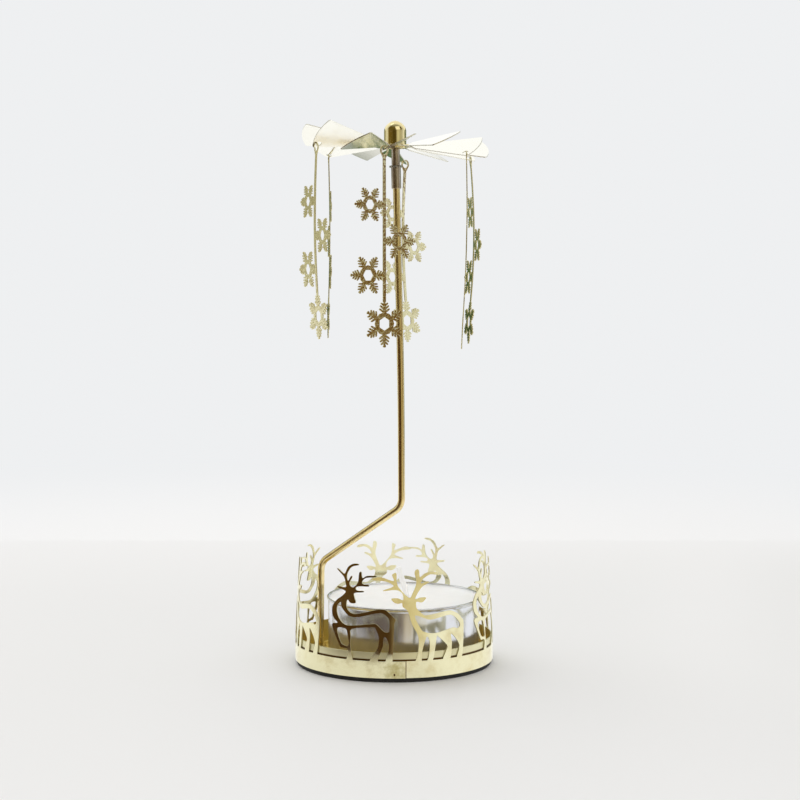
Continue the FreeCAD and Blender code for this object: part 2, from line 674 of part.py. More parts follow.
def hang_point(petal, turn):
    """Where an eye at a turn about Z sits: the middle of the metal that it goes round.

    The eye passes through the hole towards the petal's low corner, and the metal runs
    along the eye's plane from the hole to the side, the end or the cut corner.
    """
    place = petal_place(petal)
    along = place.Rotation.inverted().multVec(around(1, turn, ZERO))
    along.z = 0
    along.normalize()
    corner_way = around(1, -45, ZERO)
    if along.dot(corner_way) < 0:
        along = -along
    inset = size("hole_inset")
    hole_radius = size("hole_radius")
    shift = corner_way * ((hole_radius - size("eye_wire") / 2) * EYE_SHIFT_SHARE)
    edges = [
        (Vector(1, 0, 0), inset),
        (Vector(0, -1, 0), inset),
        (corner_way, (2 * inset - size("petal_corner_round")) / math.sqrt(2)),
    ]
    edge_reach = min((reach - shift.dot(way)) / along.dot(way)
                     for way, reach in edges if along.dot(way) > 0)
    back = shift.dot(along)
    hole_reach = math.sqrt(back ** 2 + hole_radius ** 2 - shift.dot(shift)) - back
    middle = hole_middle() + shift + along * ((edge_reach + hole_reach) / 2)
    return place.multVec(middle)


def petal_solid(petal):
    thickness = size("fan_sheet")
    root = size("hub_radius") - size("petal_root")
    reach = size("petal_corner_reach")
    half_root = size("petal_root") / 2
    half_tip = size("petal_tip") / 2
    low = Vector(0, 0, -thickness / 2)
    off = size("petal_corner_round")
    side = off * math.tan(side_slope())
    right = [Vector(root, -half_root, 0), Vector(size("hub_radius"), -half_root, 0),
             Vector(reach - off, side - half_tip, 0), Vector(reach, off - half_tip, 0)]
    left = [Vector(corner.x, -corner.y, 0) for corner in reversed(right)]
    corners = [corner + low for corner in right + left]
    edges = [Part.LineSegment(corners[place - 1], corners[place]).toShape()
             for place in range(len(corners)) if place != len(right)]
    tip = Vector(size("petal_reach"), 0, 0) + low
    edges.append(Part.Arc(corners[len(right) - 1], tip, corners[len(right)]).toShape())
    blade = Part.Face(Part.Wire(Part.__sortEdges__(edges))).extrude(UP * thickness)
    if petal % HANGER_EVERY == 0:
        blade = blade.cut(Part.makeCylinder(size("hole_radius"), 2 * thickness,
                                            hole_middle() - UP * thickness))
    blade.Placement = petal_place(petal)
    return blade


hub = Part.makeCylinder(size("hub_radius"), size("fan_sheet"),
                        rotor_base + UP * size("fan_height - fan_sheet / 2"))
hub = hub.fuse([petal_solid(petal) for petal in range(PETALS)])
hub = hub.cut(Part.makeCylinder(size("eyelet_radius"), size("cap_radius"),
                                rotor_base + UP * size("fan_height - cap_radius / 2")))
rotor_fan = solid_part("rotor_fan", hub.removeSplitter())

# The six hangers: flat etched strips of four snowflakes, each hung by the eye at its
# top through the hole at the low corner of every second petal. A hanger's own frame has
# its hang point at the origin, X along the strip's width, Z up.
ARM_SHARES = [(0.56, 0.06), (0.78, 0.26), (0.72, 0.06), (1.00, 0.06)]
HEXAGON_HOLE_SHARE = 0.30
HEXAGON_BODY_SHARE = 0.44
FLAKES = (
    ("flake_1_drop", "flake_1_radius", -1),
    ("flake_2_drop", "flake_2_radius", 1),
    ("flake_3_drop", "flake_3_radius", -1),
    ("flake_4_drop", "flake_4_radius", 0),
)
HANGER_TURN = (42, 88, -84, 40, 95.5, -67)
ARMS = 6
ARM_STEP = 360 / ARMS


def snowflake(middle, radius, first_arm):
    """A six-armed flake with one pair of barbs to each arm and a hexagonal hole."""
    corners = []
    for arm in range(ARMS):
        direction = first_arm + arm * ARM_STEP
        along = around(1, direction, ZERO)
        across = around(1, direction + 90, ZERO)
        right = [middle + along * (reach * radius) - across * (half * radius)
                 for reach, half in ARM_SHARES]
        left = [middle + along * (reach * radius) + across * (half * radius)
                for reach, half in reversed(ARM_SHARES)]
        valley = around(HEXAGON_BODY_SHARE * radius, direction + ARM_STEP / 2, middle)
        corners += right + left + [valley]
    hole = [around(HEXAGON_HOLE_SHARE * radius, first_arm + arm * ARM_STEP, middle)
            for arm in range(ARMS)]
    return flat_plate(corners, size("hanger_sheet"), [hole])


def hanger_solid():
    """The strip, its eye and its flakes, fused flat in the XY plane."""
    thickness = size("hanger_sheet")
    half = size("hanger_strip") / 2
    eye = size("eye_radius")
    wire = size("eye_wire")
    top = size("fan_sheet") / 2 + size("eye_play")
    eye_middle = Vector(0, top - eye, 0)
    neck = eye_middle - Vector(0, size("eye_neck"), 0)

    def teardrop(radius, tip, width):
        """A disc of the eye's radius and the taper that runs from it to the strip."""
        disc = Part.makeCylinder(radius, thickness, eye_middle - UP * (thickness / 2))
        side = math.sqrt(2) / 2 * radius
        taper = flat_plate([Vector(eye_middle.x - side, eye_middle.y - side, 0),
                            Vector(-width, tip.y, 0), Vector(width, tip.y, 0),
                            Vector(eye_middle.x + side, eye_middle.y - side, 0)],
                           thickness)
        return disc.fuse(taper)

    bottom_arm = size("flake_4_drop - flake_4_radius")
    strip_low = eye_middle.y - bottom_arm - half
    strip_plate = flat_plate([Vector(-half, strip_low, 0), Vector(half, strip_low, 0),
                              Vector(half, neck.y, 0), Vector(-half, neck.y, 0)], thickness)
    pieces = [strip_plate]
    for drop, radius, side in FLAKES:
        reach = size(radius)
        across = side * reach * (1 - ARM_SHARES[-1][1])
        middle = Vector(across, eye_middle.y - size(drop), 0)
        pieces.append(snowflake(middle, reach, 0 if side else 90))
    hanger = teardrop(eye + wire, neck, half).fuse(pieces)
    inner_tip = neck + Vector(0, 2 * half, 0)
    return hanger.cut(teardrop(eye, inner_tip, wire / 8)).removeSplitter()


one_hanger = hanger_solid()
upright = Rotation(Vector(1, 0, 0), 90)
hangers = []
for place, turn in enumerate(HANGER_TURN):
    hang_at = hang_point(place * HANGER_EVERY, turn)
    hangers.append(solid_part(f"hanger_{place + 1}", one_hanger,
                              Placement(hang_at, Rotation(UP, turn).multiply(upright))))

doc.recompute()
faults = [item.Label for item in doc.Objects
          if any(word in item.State for word in ("Invalid", "Error"))]
if faults:
    raise ValueError("failed objects: " + ", ".join(faults))

sub_parts = [foot_pad, base_pan, reindeer_band, tealight_cup, candle_wax,
             wick_sustainer, candle_wick, support_rod, pivot_sleeve, needle_holder,
             sleeve_ring, pivot_needle, rotor_cap, bearing_cup, rotor_fan] + hangers
for part in sub_parts:
    if part.Shape.isNull() or not part.Shape.isValid() or not part.Shape.Solids:
        raise ValueError(part.Label + " has no valid solid")
os.makedirs("parts", exist_ok=True)
for part in sub_parts:
    part.Shape.exportStep(f"parts/{part.Label}.step")
    print(part.Label, len(part.Shape.Solids), round(part.Shape.Volume, 3))
print("needle point", tuple(round(number, 4) for number in lean_place.Base))
for part in hangers:
    print(part.Label, tuple(round(number, 4) for number in part.Placement.Base))
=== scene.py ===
# An angel chime carousel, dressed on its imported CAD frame. The part's lengths are
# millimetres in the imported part's own frame until a mesh is made of them, the stage's are
# metres, and angles are degrees. Azimuths count from the front towards the right.
import bpy
import json
import math
import numpy as np
from mathutils import Matrix, Vector
from mathutils.geometry import delaunay_2d_cdt


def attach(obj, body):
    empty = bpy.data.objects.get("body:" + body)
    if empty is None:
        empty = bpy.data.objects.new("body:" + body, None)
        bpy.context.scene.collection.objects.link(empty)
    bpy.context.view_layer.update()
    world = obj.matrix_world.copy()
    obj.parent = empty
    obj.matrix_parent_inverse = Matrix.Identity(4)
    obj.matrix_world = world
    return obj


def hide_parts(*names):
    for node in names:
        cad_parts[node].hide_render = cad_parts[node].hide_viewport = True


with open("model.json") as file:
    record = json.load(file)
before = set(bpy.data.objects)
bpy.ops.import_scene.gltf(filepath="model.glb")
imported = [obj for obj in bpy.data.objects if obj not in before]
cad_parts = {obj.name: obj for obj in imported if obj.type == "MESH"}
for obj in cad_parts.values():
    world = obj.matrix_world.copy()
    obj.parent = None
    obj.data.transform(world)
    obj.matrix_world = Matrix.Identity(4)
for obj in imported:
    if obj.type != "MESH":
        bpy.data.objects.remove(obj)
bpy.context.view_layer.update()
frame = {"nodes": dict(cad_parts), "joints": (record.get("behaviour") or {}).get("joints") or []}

# The room: a white sill, cut off in front of the carousel, a bright window wall behind
# and a brown room before it. Only shiny metal sees the window and the room; the camera
# sees the pale floor and a plain pale backdrop.
MM = 0.001
CAMERA_PLACE = (1.473 * MM, -411.13 * MM, 91.17 * MM)
CAMERA_PITCH, CAMERA_LENS = 3.694, 75.55
BACKDROP_WHITE, BRIGHT = (0.86, 0.87, 0.88, 1), (1.04, 1.04, 1.04, 1)
LIGHT_IN_FRONT, LIGHT_BEHIND, LIGHT_TURN = (0.60, 0.58, 0.55, 1), (0.96, 0.96, 0.96, 1), 0.6
LAMPS = (("window_lamp", (-0.25, 0.55, 1.00), 0.9, 4.6),
         ("room_lamp", (0.45, -0.70, 0.80), 0.8, 2.0))
LAMPS_AIM = (0, 0, 0.06)
# What metal sees by heading, from 0 at the left to 1 at the right: low down, and from
# UPPER_ROOM up. The ceiling and what is straight overhead come above that.
ROOM_COLOURS = [
    (0.10, (0.14, 0.07, 0.012)), (0.30, (0.055, 0.025, 0.006)), (0.49, (0.06, 0.03, 0.008)),
    (0.55, (0.23, 0.16, 0.055)), (0.62, (0.46, 0.38, 0.20)), (0.72, (0.56, 0.50, 0.32)),
    (0.82, (0.30, 0.22, 0.09)), (0.88, (0.15, 0.075, 0.014)), (0.96, (0.13, 0.055, 0.008)),
]
UPPER_ROOM_COLOURS = [
    (0.00, (0.74, 0.75, 0.72)), (0.07, (0.55, 0.50, 0.36)), (0.12, (0.16, 0.11, 0.02)),
    (0.33, (0.13, 0.09, 0.02)), (0.40, (0.070, 0.048, 0.006)), (0.56, (0.075, 0.05, 0.008)),
    (0.61, (0.58, 0.54, 0.38)), (0.68, (0.70, 0.67, 0.52)), (0.80, (0.48, 0.46, 0.34)),
    (1.00, (0.56, 0.56, 0.54)),
]
UPPER_ROOM = (0.076, 0.084)
CEILING, CEILING_BROWN = (0.12, 0.50), (0.13, 0.095, 0.02, 1)
OVERHEAD, OVERHEAD_GREY = (0.75, 0.98), (0.34, 0.34, 0.28, 1)
WINDOW_SIDE = (-0.09, 0.0)
# The floor is a sill. Its front edge is the line y = -slope x - front, and what lies
# before that line, or beyond the sill's reach, is the room's dark floor.
FLOOR_HALF, FLOOR_WHITE, FLOOR_FADE = 4.0, (0.80, 0.80, 0.80, 1), (0.16, 0.50)
SILL_SLOPE, SILL_FRONT, SILL_BLUR, SILL_REACH = 0.4287, 0.0541, 0.004, (0.26, 0.34)
ROOM_FLOOR_COLOURS = [
    (0.18, (0.055, 0.024, 0.006)), (0.485, (0.07, 0.033, 0.009)), (0.53, (0.62, 0.49, 0.28)),
    (0.59, (0.78, 0.69, 0.47)), (0.68, (0.86, 0.80, 0.62)), (0.86, (0.85, 0.83, 0.78)),
]
LEFT_SILL, SILL_BRIGHTENS, SILL_SHINE = (0.87, 0.86, 0.83, 1), (0.56, 0.78), 0.92
IN_FRONT, AT_THE_BACK = (0.03, -0.03), (-0.03, 0.015)
# The window wall: a white wall with two panes, a garden seen through both and a curtain
# at the left, the bright sky above the glass and a grey wall at both ends.
WINDOW_BEHIND, GLASS_LOW, GLASS_TILT, GLASS_HIGH = 0.20, 0.040, -0.12, 0.18
PANES, PANE_BLUR, SKY_BLUR = ((-0.45, 0.097), (0.13, 0.45)), 0.003, 0.004
ARCH, ARCH_RISE, WALL_END = (0.11, 0.16), 0.025, (0.45, 0.65)
GARDEN_COLOURS = [
    (0.38, (0.035, 0.06, 0.02)), (0.56, (0.11, 0.16, 0.065)), (0.74, (0.40, 0.45, 0.34)),
]
LEAF_SCALE, CURTAIN = 16.0, (-0.12, -0.20)
CURTAIN_COLOURS = [(0.38, (0.26, 0.25, 0.15)), (0.66, (0.66, 0.64, 0.50))]
WALL_WHITE, WALL_GREY = (0.90, 0.89, 0.87, 1), (0.74, 0.75, 0.72, 1)


def add_node(tree, kind, feeds=(), **settings):
    """A node with its settings, each socket fed by a number or by another socket."""
    made = tree.nodes.new(kind)
    for name, value in settings.items():
        setattr(made, name, value)
    for name, feed in dict(feeds).items():
        if isinstance(feed, bpy.types.NodeSocket):
            tree.links.new(feed, made.inputs[name])
        else:
            made.inputs[name].default_value = feed
    return made


def count(tree, operation, *values):
    """The result of one sum on numbers or sockets."""
    return add_node(tree, "ShaderNodeMath", enumerate(values), operation=operation).outputs[0]


def ease_over(tree, value, low, high, start=0.0, end=1.0):
    """From start below low to end above high, easing smoothly between."""
    return add_node(tree, "ShaderNodeMapRange", enumerate([value, low, high, start, end]),
                    interpolation_type="SMOOTHSTEP").outputs[0]


def blend_colours(tree, share, first, second):
    """The first colour where the share is 0 and the second where it is 1."""
    return add_node(tree, "ShaderNodeMix", {0: share, 6: first, 7: second},
                    data_type="RGBA").outputs[2]


def colour_bands(tree, value, stops):
    """A ramp of (place, colour) stops read at a value from 0 to 1."""
    ramp = add_node(tree, "ShaderNodeValToRGB", {0: value})
    bands = ramp.color_ramp.elements
    bands[0].position, bands[0].color = stops[0][0], (*stops[0][1], 1)
    bands[1].position, bands[1].color = stops[-1][0], (*stops[-1][1], 1)
    for place, colour in stops[1:-1]:
        bands.new(place).color = (*colour, 1)
    return ramp.outputs[0]


def heading(tree, x, y):
    """The angle of (x, -y), from 0 at the left through 0.5 at the front to 1 at the right."""
    turn = count(tree, "ARCTAN2", x, count(tree, "MULTIPLY", y, -1.0))
    return count(tree, "MULTIPLY_ADD", turn, 1 / math.pi, 0.5)


def new_material(name):
    """An empty node material and its tree."""
    material = bpy.data.materials.new(name)
    material.use_nodes = True
    material.node_tree.nodes.clear()
    return material, material.node_tree


def glow(tree, colour):
    """A surface that gives off a colour and takes no light."""
    return add_node(tree, "ShaderNodeEmission", {"Color": colour})


def blend_looks(tree, share, first, second):
    """The first surface where the share is 0 and the second where it is 1."""
    return add_node(tree, "ShaderNodeMixShader", {
        0: share, 1: first.outputs[0], 2: second.outputs[0]})


def show(tree, surface):
    """Makes a surface what the material shows."""
    add_node(tree, "ShaderNodeOutputMaterial", {"Surface": surface.outputs[0]})


def stage_sheet(name, corners, material):
    """One flat face with four corners, for the stage."""
    mesh = bpy.data.meshes.new(name)
    mesh.from_pydata(corners, [], [(0, 1, 2, 3)])
    mesh.materials.append(material)
    sheet = bpy.data.objects.new(name, mesh)
    bpy.context.scene.collection.objects.link(sheet)
    return sheet


bpy.context.scene.view_settings.view_transform = "Standard"

camera_data = bpy.data.cameras.new("camera")
camera_data.lens = CAMERA_LENS
camera_data.clip_start = 0.01
camera = bpy.data.objects.new("camera", camera_data)
camera.location = CAMERA_PLACE
camera.rotation_euler = (math.radians(90 - CAMERA_PITCH), 0, 0)
bpy.context.scene.collection.objects.link(camera)
bpy.context.scene.camera = camera

world = bpy.data.worlds.new("window_and_room")
bpy.context.scene.world = world
world.use_nodes = True
sky = world.node_tree
sky.nodes.clear()
look = add_node(sky, "ShaderNodeTexCoord").outputs["Generated"]
look_x, look_y, look_z = add_node(sky, "ShaderNodeSeparateXYZ", {0: look}).outputs
around = heading(sky, look_x, look_y)
room = blend_colours(sky, ease_over(sky, look_z, *UPPER_ROOM),
                     colour_bands(sky, around, ROOM_COLOURS),
                     colour_bands(sky, around, UPPER_ROOM_COLOURS))
room = blend_colours(sky, ease_over(sky, look_z, *CEILING), room, CEILING_BROWN)
room = blend_colours(sky, ease_over(sky, look_z, *OVERHEAD), room, OVERHEAD_GREY)
shiny_sees = blend_colours(sky, ease_over(sky, look_y, *WINDOW_SIDE), room, BRIGHT)
lit_by = blend_colours(sky, ease_over(sky, look_y, -LIGHT_TURN, LIGHT_TURN),
                       LIGHT_IN_FRONT, LIGHT_BEHIND)
path = add_node(sky, "ShaderNodeLightPath").outputs
seen = count(sky, "MAXIMUM", path["Is Camera Ray"], path["Is Transmission Ray"])
colour = blend_colours(sky, path["Is Glossy Ray"], lit_by, shiny_sees)
colour = blend_colours(sky, seen, colour, BACKDROP_WHITE)
backdrop = add_node(sky, "ShaderNodeBackground", {"Color": colour})
add_node(sky, "ShaderNodeOutputWorld", {"Surface": backdrop.outputs[0]})

floor_paint, paint = new_material("sill_paint")
spot = add_node(paint, "ShaderNodeTexCoord").outputs["Object"]
spot_x, spot_y, spot_z = add_node(paint, "ShaderNodeSeparateXYZ", {0: spot}).outputs
around = heading(paint, spot_x, spot_y)
away = add_node(paint, "ShaderNodeVectorMath", {0: spot}, operation="LENGTH").outputs["Value"]
matt = add_node(paint, "ShaderNodeBsdfPrincipled", {
    "Base Color": FLOOR_WHITE, "Roughness": 0.55, "Specular IOR Level": 0.25})
floor_look = blend_looks(paint, ease_over(paint, away, *FLOOR_FADE), matt,
                         glow(paint, BACKDROP_WHITE))
beyond = count(paint, "MULTIPLY_ADD", spot_x, -SILL_SLOPE, -SILL_FRONT)
beyond = ease_over(paint, count(paint, "SUBTRACT", beyond, spot_y), -SILL_BLUR, SILL_BLUR)
out_of_reach = count(paint, "MULTIPLY", ease_over(paint, away, *SILL_REACH),
                     ease_over(paint, spot_y, *IN_FRONT))
room_floor = blend_colours(paint, out_of_reach,
                           colour_bands(paint, around, ROOM_FLOOR_COLOURS),
                           colour_bands(paint, around, ROOM_COLOURS))
bright_sill = blend_colours(paint, ease_over(paint, around, *SILL_BRIGHTENS),
                            LEFT_SILL, BRIGHT)
bright_sill = blend_colours(paint, ease_over(paint, spot_y, *AT_THE_BACK),
                            bright_sill, BRIGHT)
shiny_ray = add_node(paint, "ShaderNodeLightPath").outputs["Is Glossy Ray"]
floor_look = blend_looks(paint, count(paint, "MULTIPLY", shiny_ray, SILL_SHINE),
                         floor_look, glow(paint, bright_sill))
off_sill = count(paint, "MULTIPLY", count(paint, "MAXIMUM", beyond, out_of_reach), shiny_ray)
show(paint, blend_looks(paint, off_sill, floor_look, glow(paint, room_floor)))
floor = stage_sheet("floor", [
    (-FLOOR_HALF, -FLOOR_HALF, 0), (FLOOR_HALF, -FLOOR_HALF, 0),
    (FLOOR_HALF, FLOOR_HALF, 0), (-FLOOR_HALF, FLOOR_HALF, 0)], floor_paint)

window_paint, paint = new_material("window_in_metal")
spot = add_node(paint, "ShaderNodeTexCoord").outputs["Object"]
spot_x, spot_y, spot_z = add_node(paint, "ShaderNodeSeparateXYZ", {0: spot}).outputs
leaves = add_node(paint, "ShaderNodeTexNoise", {
    "Vector": spot, "Scale": LEAF_SCALE, "Detail": 4.0}).outputs[0]
garden = blend_colours(paint, ease_over(paint, spot_x, *CURTAIN),
                       colour_bands(paint, leaves, GARDEN_COLOURS),
                       colour_bands(paint, leaves, CURTAIN_COLOURS))
glass = 0.0
for start, end in PANES:
    pane = count(paint, "MULTIPLY",
                 ease_over(paint, spot_x, start - PANE_BLUR, start + PANE_BLUR),
                 ease_over(paint, spot_x, end + PANE_BLUR, end - PANE_BLUR))
    glass = count(paint, "MAXIMUM", pane, glass)
above_sill = count(paint, "MULTIPLY_ADD", spot_x, -GLASS_TILT, spot_z)
glass = count(paint, "MULTIPLY", glass, ease_over(
    paint, above_sill, GLASS_LOW - PANE_BLUR, GLASS_LOW + PANE_BLUR))
wall = blend_colours(paint, glass, WALL_WHITE, garden)
aside = count(paint, "ABSOLUTE", spot_x)
above_glass = count(paint, "SUBTRACT", spot_z, ease_over(paint, aside, *ARCH, 0, ARCH_RISE))
wall = blend_colours(paint, ease_over(paint, above_glass, GLASS_HIGH - SKY_BLUR,
                                      GLASS_HIGH + SKY_BLUR), wall, BRIGHT)
wall = blend_colours(paint, ease_over(paint, aside, *WALL_END), wall, WALL_GREY)
shiny_ray = add_node(paint, "ShaderNodeLightPath").outputs["Is Glossy Ray"]
show(paint, blend_looks(paint, shiny_ray, add_node(paint, "ShaderNodeBsdfTransparent"),
                        glow(paint, wall)))
window = stage_sheet("window", [
    (-FLOOR_HALF, WINDOW_BEHIND, 0), (FLOOR_HALF, WINDOW_BEHIND, 0),
    (FLOOR_HALF, WINDOW_BEHIND, FLOOR_HALF), (-FLOOR_HALF, WINDOW_BEHIND, FLOOR_HALF)],
    window_paint)

for name, place, side, power in LAMPS:
    lamp_data = bpy.data.lights.new(name, "AREA")
    lamp_data.energy, lamp_data.size = power, side
    lamp = bpy.data.objects.new(name, lamp_data)
    lamp.location = place
    lamp.rotation_euler = (Vector(LAMPS_AIM) - lamp.location).to_track_quat(
        "-Z", "Y").to_euler()
    bpy.context.scene.collection.objects.link(lamp)

# The foot pad: a thin disc of black foam rubber under the pan, punched out where the
# rod's riveted foot comes through. It is stuck on and keeps the pan from sliding.
PAD_RADIUS, PAD_THICKNESS = 23.95, 1.05
ROTOR_X = 0.3
ROD_FOOT, RIVET_OPENING = (ROTOR_X - 19.1032, 10.5024), 2.0
FULL_TURN, SHARP_TURN = 2 * math.pi, 38


def circle(radius, points, middle=(0, 0)):
    """Points evenly round a circle, counter-clockwise."""
    angle = np.linspace(0, FULL_TURN, points, endpoint=False)
    return np.stack([np.cos(angle), np.sin(angle)], 1) * radius + middle


def inside(points, loop):
    """Even-odd rule: a ray to the right crosses the loop an odd number of times."""
    x, y = points[:, :1], points[:, 1:]
    ax, ay = loop.T
    bx, by = np.roll(loop, -1, 0).T
    with np.errstate(divide="ignore", invalid="ignore"):
        at = ax + (y - ay) * (bx - ax) / (by - ay)
    return (((ay > y) != (by > y)) & (x < at)).sum(1) % 2 == 1


def kept(points, shapes, holes):
    """True where a point is in at least one shape and in no hole."""
    return (np.any([inside(points, loop) for loop in shapes], 0)
            & ~np.any([inside(points, loop) for loop in holes] or [[False]], 0))


def cut_sheet(shapes, holes, spacing, place, thickness, extra=()):
    """A flat pattern made a solid sheet, as points, faces and a normal for each corner.

    The outlines' points and a grid are joined by Delaunay triangles, and those whose
    middle is kept stay. place(u, v, depth) carries them to the upper face at half the
    thickness and to the lower at minus half; quads join the two along every free edge.
    """
    loops = shapes + holes
    rim = np.concatenate(loops)
    starts = np.cumsum([0] + [len(loop) for loop in loops])
    edges = np.concatenate([np.stack([np.arange(len(loop)),
                                      np.roll(np.arange(len(loop)), -1)], 1) + start
                            for loop, start in zip(loops, starts)])
    low, high, row_share = rim.min(0), rim.max(0), 0.87
    u, v = np.meshgrid(np.arange(low[0], high[0], spacing),
                       np.arange(low[1], high[1], spacing * row_share))
    u[1::2] += spacing / 2
    grid = np.stack([u.ravel(), v.ravel()], 1)
    grid = np.concatenate([grid[kept(grid, shapes, holes)], *extra])
    same_point, no_area = 1e-5, 1e-9
    flat, _, faces, *_ = delaunay_2d_cdt(
        [Vector(point) for point in np.concatenate([rim, grid]).tolist()],
        edges.tolist(), [], 0, same_point)
    flat, faces = np.array([tuple(point) for point in flat]), np.array(faces)
    faces = faces[kept(flat[faces].mean(1), shapes, holes)]
    one, two, three = flat[faces].transpose(1, 0, 2)
    area = ((two - one)[:, 0] * (three - one)[:, 1] - (two - one)[:, 1] * (three - one)[:, 0])
    faces[area < 0] = faces[area < 0, ::-1]
    used, faces = np.unique(faces[np.abs(area) > no_area], return_inverse=True)
    faces = faces.reshape(-1, 3)
    u, v = flat[used].T
    size, half, step = len(used), thickness / 2, 0.02

    def placed(across, along, depth):
        """The points that place gives at one depth, a row for each."""
        return np.stack(place(across, along, np.full(len(across), depth)), 1)

    upper, lower = placed(u, v, half), placed(u, v, -half)
    normal = np.cross(placed(u + step, v, 0) - placed(u - step, v, 0),
                      placed(u, v + step, 0) - placed(u, v - step, 0))
    normal /= np.linalg.norm(normal, axis=1, keepdims=True)
    run = np.concatenate([faces[:, [0, 1]], faces[:, [1, 2]], faces[:, [2, 0]]])
    free = run[~np.isin(run[:, 0] * size + run[:, 1], run[:, 1] * size + run[:, 0])]
    points = np.concatenate([upper, lower])
    rims = np.stack([free[:, 0] + size, free[:, 1] + size, free[:, 1], free[:, 0]], 1)
    outward = np.cross(points[rims[:, 1]] - points[rims[:, 0]],
                       points[rims[:, 3]] - points[rims[:, 0]])
    outward /= np.linalg.norm(outward, axis=1, keepdims=True)
    corners = np.concatenate([normal[faces].reshape(-1, 3),
                              -normal[faces[:, ::-1]].reshape(-1, 3),
                              np.repeat(outward, 4, 0)])
    return (points, faces.tolist() + (faces[:, ::-1] + size).tolist() + rims.tolist(),
            corners)


def make_piece(name, points, faces, material, corners=None):
    """An object of points in millimetres, smooth but where it turns more than SHARP_TURN.

    A cut sheet brings its corners' normals, and its rim, its only quads, is marked for
    the metal to be matt there.
    """
    mesh = bpy.data.meshes.new(name)
    mesh.from_pydata((np.asarray(points) * MM).tolist(), [], faces)
    mesh.polygons.foreach_set("use_smooth", np.ones(len(mesh.polygons), bool))
    if corners is None:
        mesh.set_sharp_from_angle(angle=math.radians(SHARP_TURN))
    else:
        mesh.normals_split_custom_set(corners.tolist())
        mark = mesh.attributes.new("cut_edge", "FLOAT", "FACE")
        mark.data.foreach_set("value", [float(len(face) == 4) for face in faces])
    mesh.materials.append(material)
    piece = bpy.data.objects.new(name, mesh)
    bpy.context.scene.collection.objects.link(piece)
    return piece


def millimetres(tree, stretch=(1, 1, 1)):
    """The piece's Object coordinates in millimetres, stretched along the axes."""
    spot = add_node(tree, "ShaderNodeTexCoord").outputs["Object"]
    return add_node(tree, "ShaderNodeMapping", {
        "Vector": spot, "Scale": tuple(value / MM for value in stretch)}).outputs[0]


def noise(tree, scale, detail, stretch=(1, 1, 1), roughness=0.5):
    """Soft noise over the piece, from 0 to 1, with so many cells to a millimetre."""
    return add_node(tree, "ShaderNodeTexNoise", {
        "Vector": millimetres(tree, stretch), "Scale": scale, "Detail": detail,
        "Roughness": roughness}).outputs[0]


def bumps(tree, height, strength, depth):
    """The normal that a height gives, which is worth so many millimetres."""
    return add_node(tree, "ShaderNodeBump", {
        "Height": height, "Strength": strength, "Distance": depth * MM}).outputs[0]


foam, tree = new_material("foam_rubber")
pores = add_node(tree, "ShaderNodeTexVoronoi", {"Vector": millimetres(tree), "Scale": 2.6})
show(tree, add_node(tree, "ShaderNodeBsdfPrincipled", {
    "Base Color": colour_bands(tree, noise(tree, 0.5, 4.0), [
        (0.35, (0.006, 0.006, 0.006)), (0.75, (0.018, 0.017, 0.016))]),
    "Roughness": 0.82, "Normal": bumps(tree, pores.outputs["Distance"], 0.35, 0.1)}))

points, faces, corners = cut_sheet(
    [circle(PAD_RADIUS, 160)], [circle(RIVET_OPENING, 32, ROD_FOOT)], 3.0,
    lambda u, v, depth: (u, v, depth + PAD_THICKNESS / 2), PAD_THICKNESS)
pad = make_piece("foam_foot_pad", points, faces, foam, corners)
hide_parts("foot_pad")
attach(pad, "base")

# The pan: a shallow dish pressed from thin gold-coloured sheet, with a rounded bottom
# corner and a plain cut rim. The inside is satin and slightly smeared.
PAN_RADIUS, PAN_SHEET, PAN_CORNER = 24.1, 0.3, 0.7
PAN_RIM, RIM_EASE = PAD_THICKNESS + 6.0, PAN_SHEET * 0.35
STRIP_HEIGHT = 4.0
STRIP_TOP = PAD_THICKNESS + STRIP_HEIGHT
POLISHED_FROM = (PAN_RADIUS - 0.28, PAN_RADIUS - 0.2)
# Painted shade: the heights of a dark line on the pan's outside just above the strip, and the
# dark brown painted there and beside the band's lap edge and in its weld pit.
CREVICE = (STRIP_TOP + 0.55, STRIP_TOP + 0.3)
PAINTED_SHADE_BROWN = (0.10, 0.045, 0.008, 1)
POLISHED_GOLD = (0.84, 0.80, 0.53, 1)
TARNISHED_GOLD = (0.66, 0.53, 0.24, 1)
METAL_SKIN = 0.02


def rounded(corners, ease, steps=5):
    """The corners with each inner one eased by the curve (1-t)^2 A + 2t(1-t) C + t^2 B.

    A and B are the points one ease before and after the corner C.
    """
    corners = np.asarray(corners, float)
    ease = np.broadcast_to(ease, len(corners) - 2)
    t = np.linspace(0, 1, steps)[:, None]
    run = [corners[:1]]
    for before, corner, after, reach in zip(corners, corners[1:], corners[2:], ease):
        start = corner + (before - corner) / np.linalg.norm(before - corner) * reach
        end = corner + (after - corner) / np.linalg.norm(after - corner) * reach
        run.append((1 - t) ** 2 * start + 2 * t * (1 - t) * corner + t ** 2 * end)
    return np.concatenate(run + [corners[-1:]])


def ringed(points, first_pole=None, last_pole=None):
    """Points and faces of rings joined by quads, with each end drawn in to its pole.

    Without any pole the last ring is joined to the first.
    """
    sides = points.shape[1]
    index = np.arange(len(points) * sides).reshape(-1, sides)
    if first_pole is None and last_pole is None:
        index = np.concatenate([index, index[:1]])
    low, high = index[:-1], index[1:]
    faces = np.stack([low, np.roll(low, -1, 1), np.roll(high, -1, 1), high],
                     -1).reshape(-1, 4).tolist()
    points = points.reshape(-1, 3)
    for row, pole in ((index[0][::-1], first_pole), (index[-1], last_pole)):
        if pole is not None:
            middle = np.full(sides, len(points))
            points = np.concatenate([points, [pole]])
            faces += np.stack([row, np.roll(row, -1), middle], -1).tolist()
    return points, faces


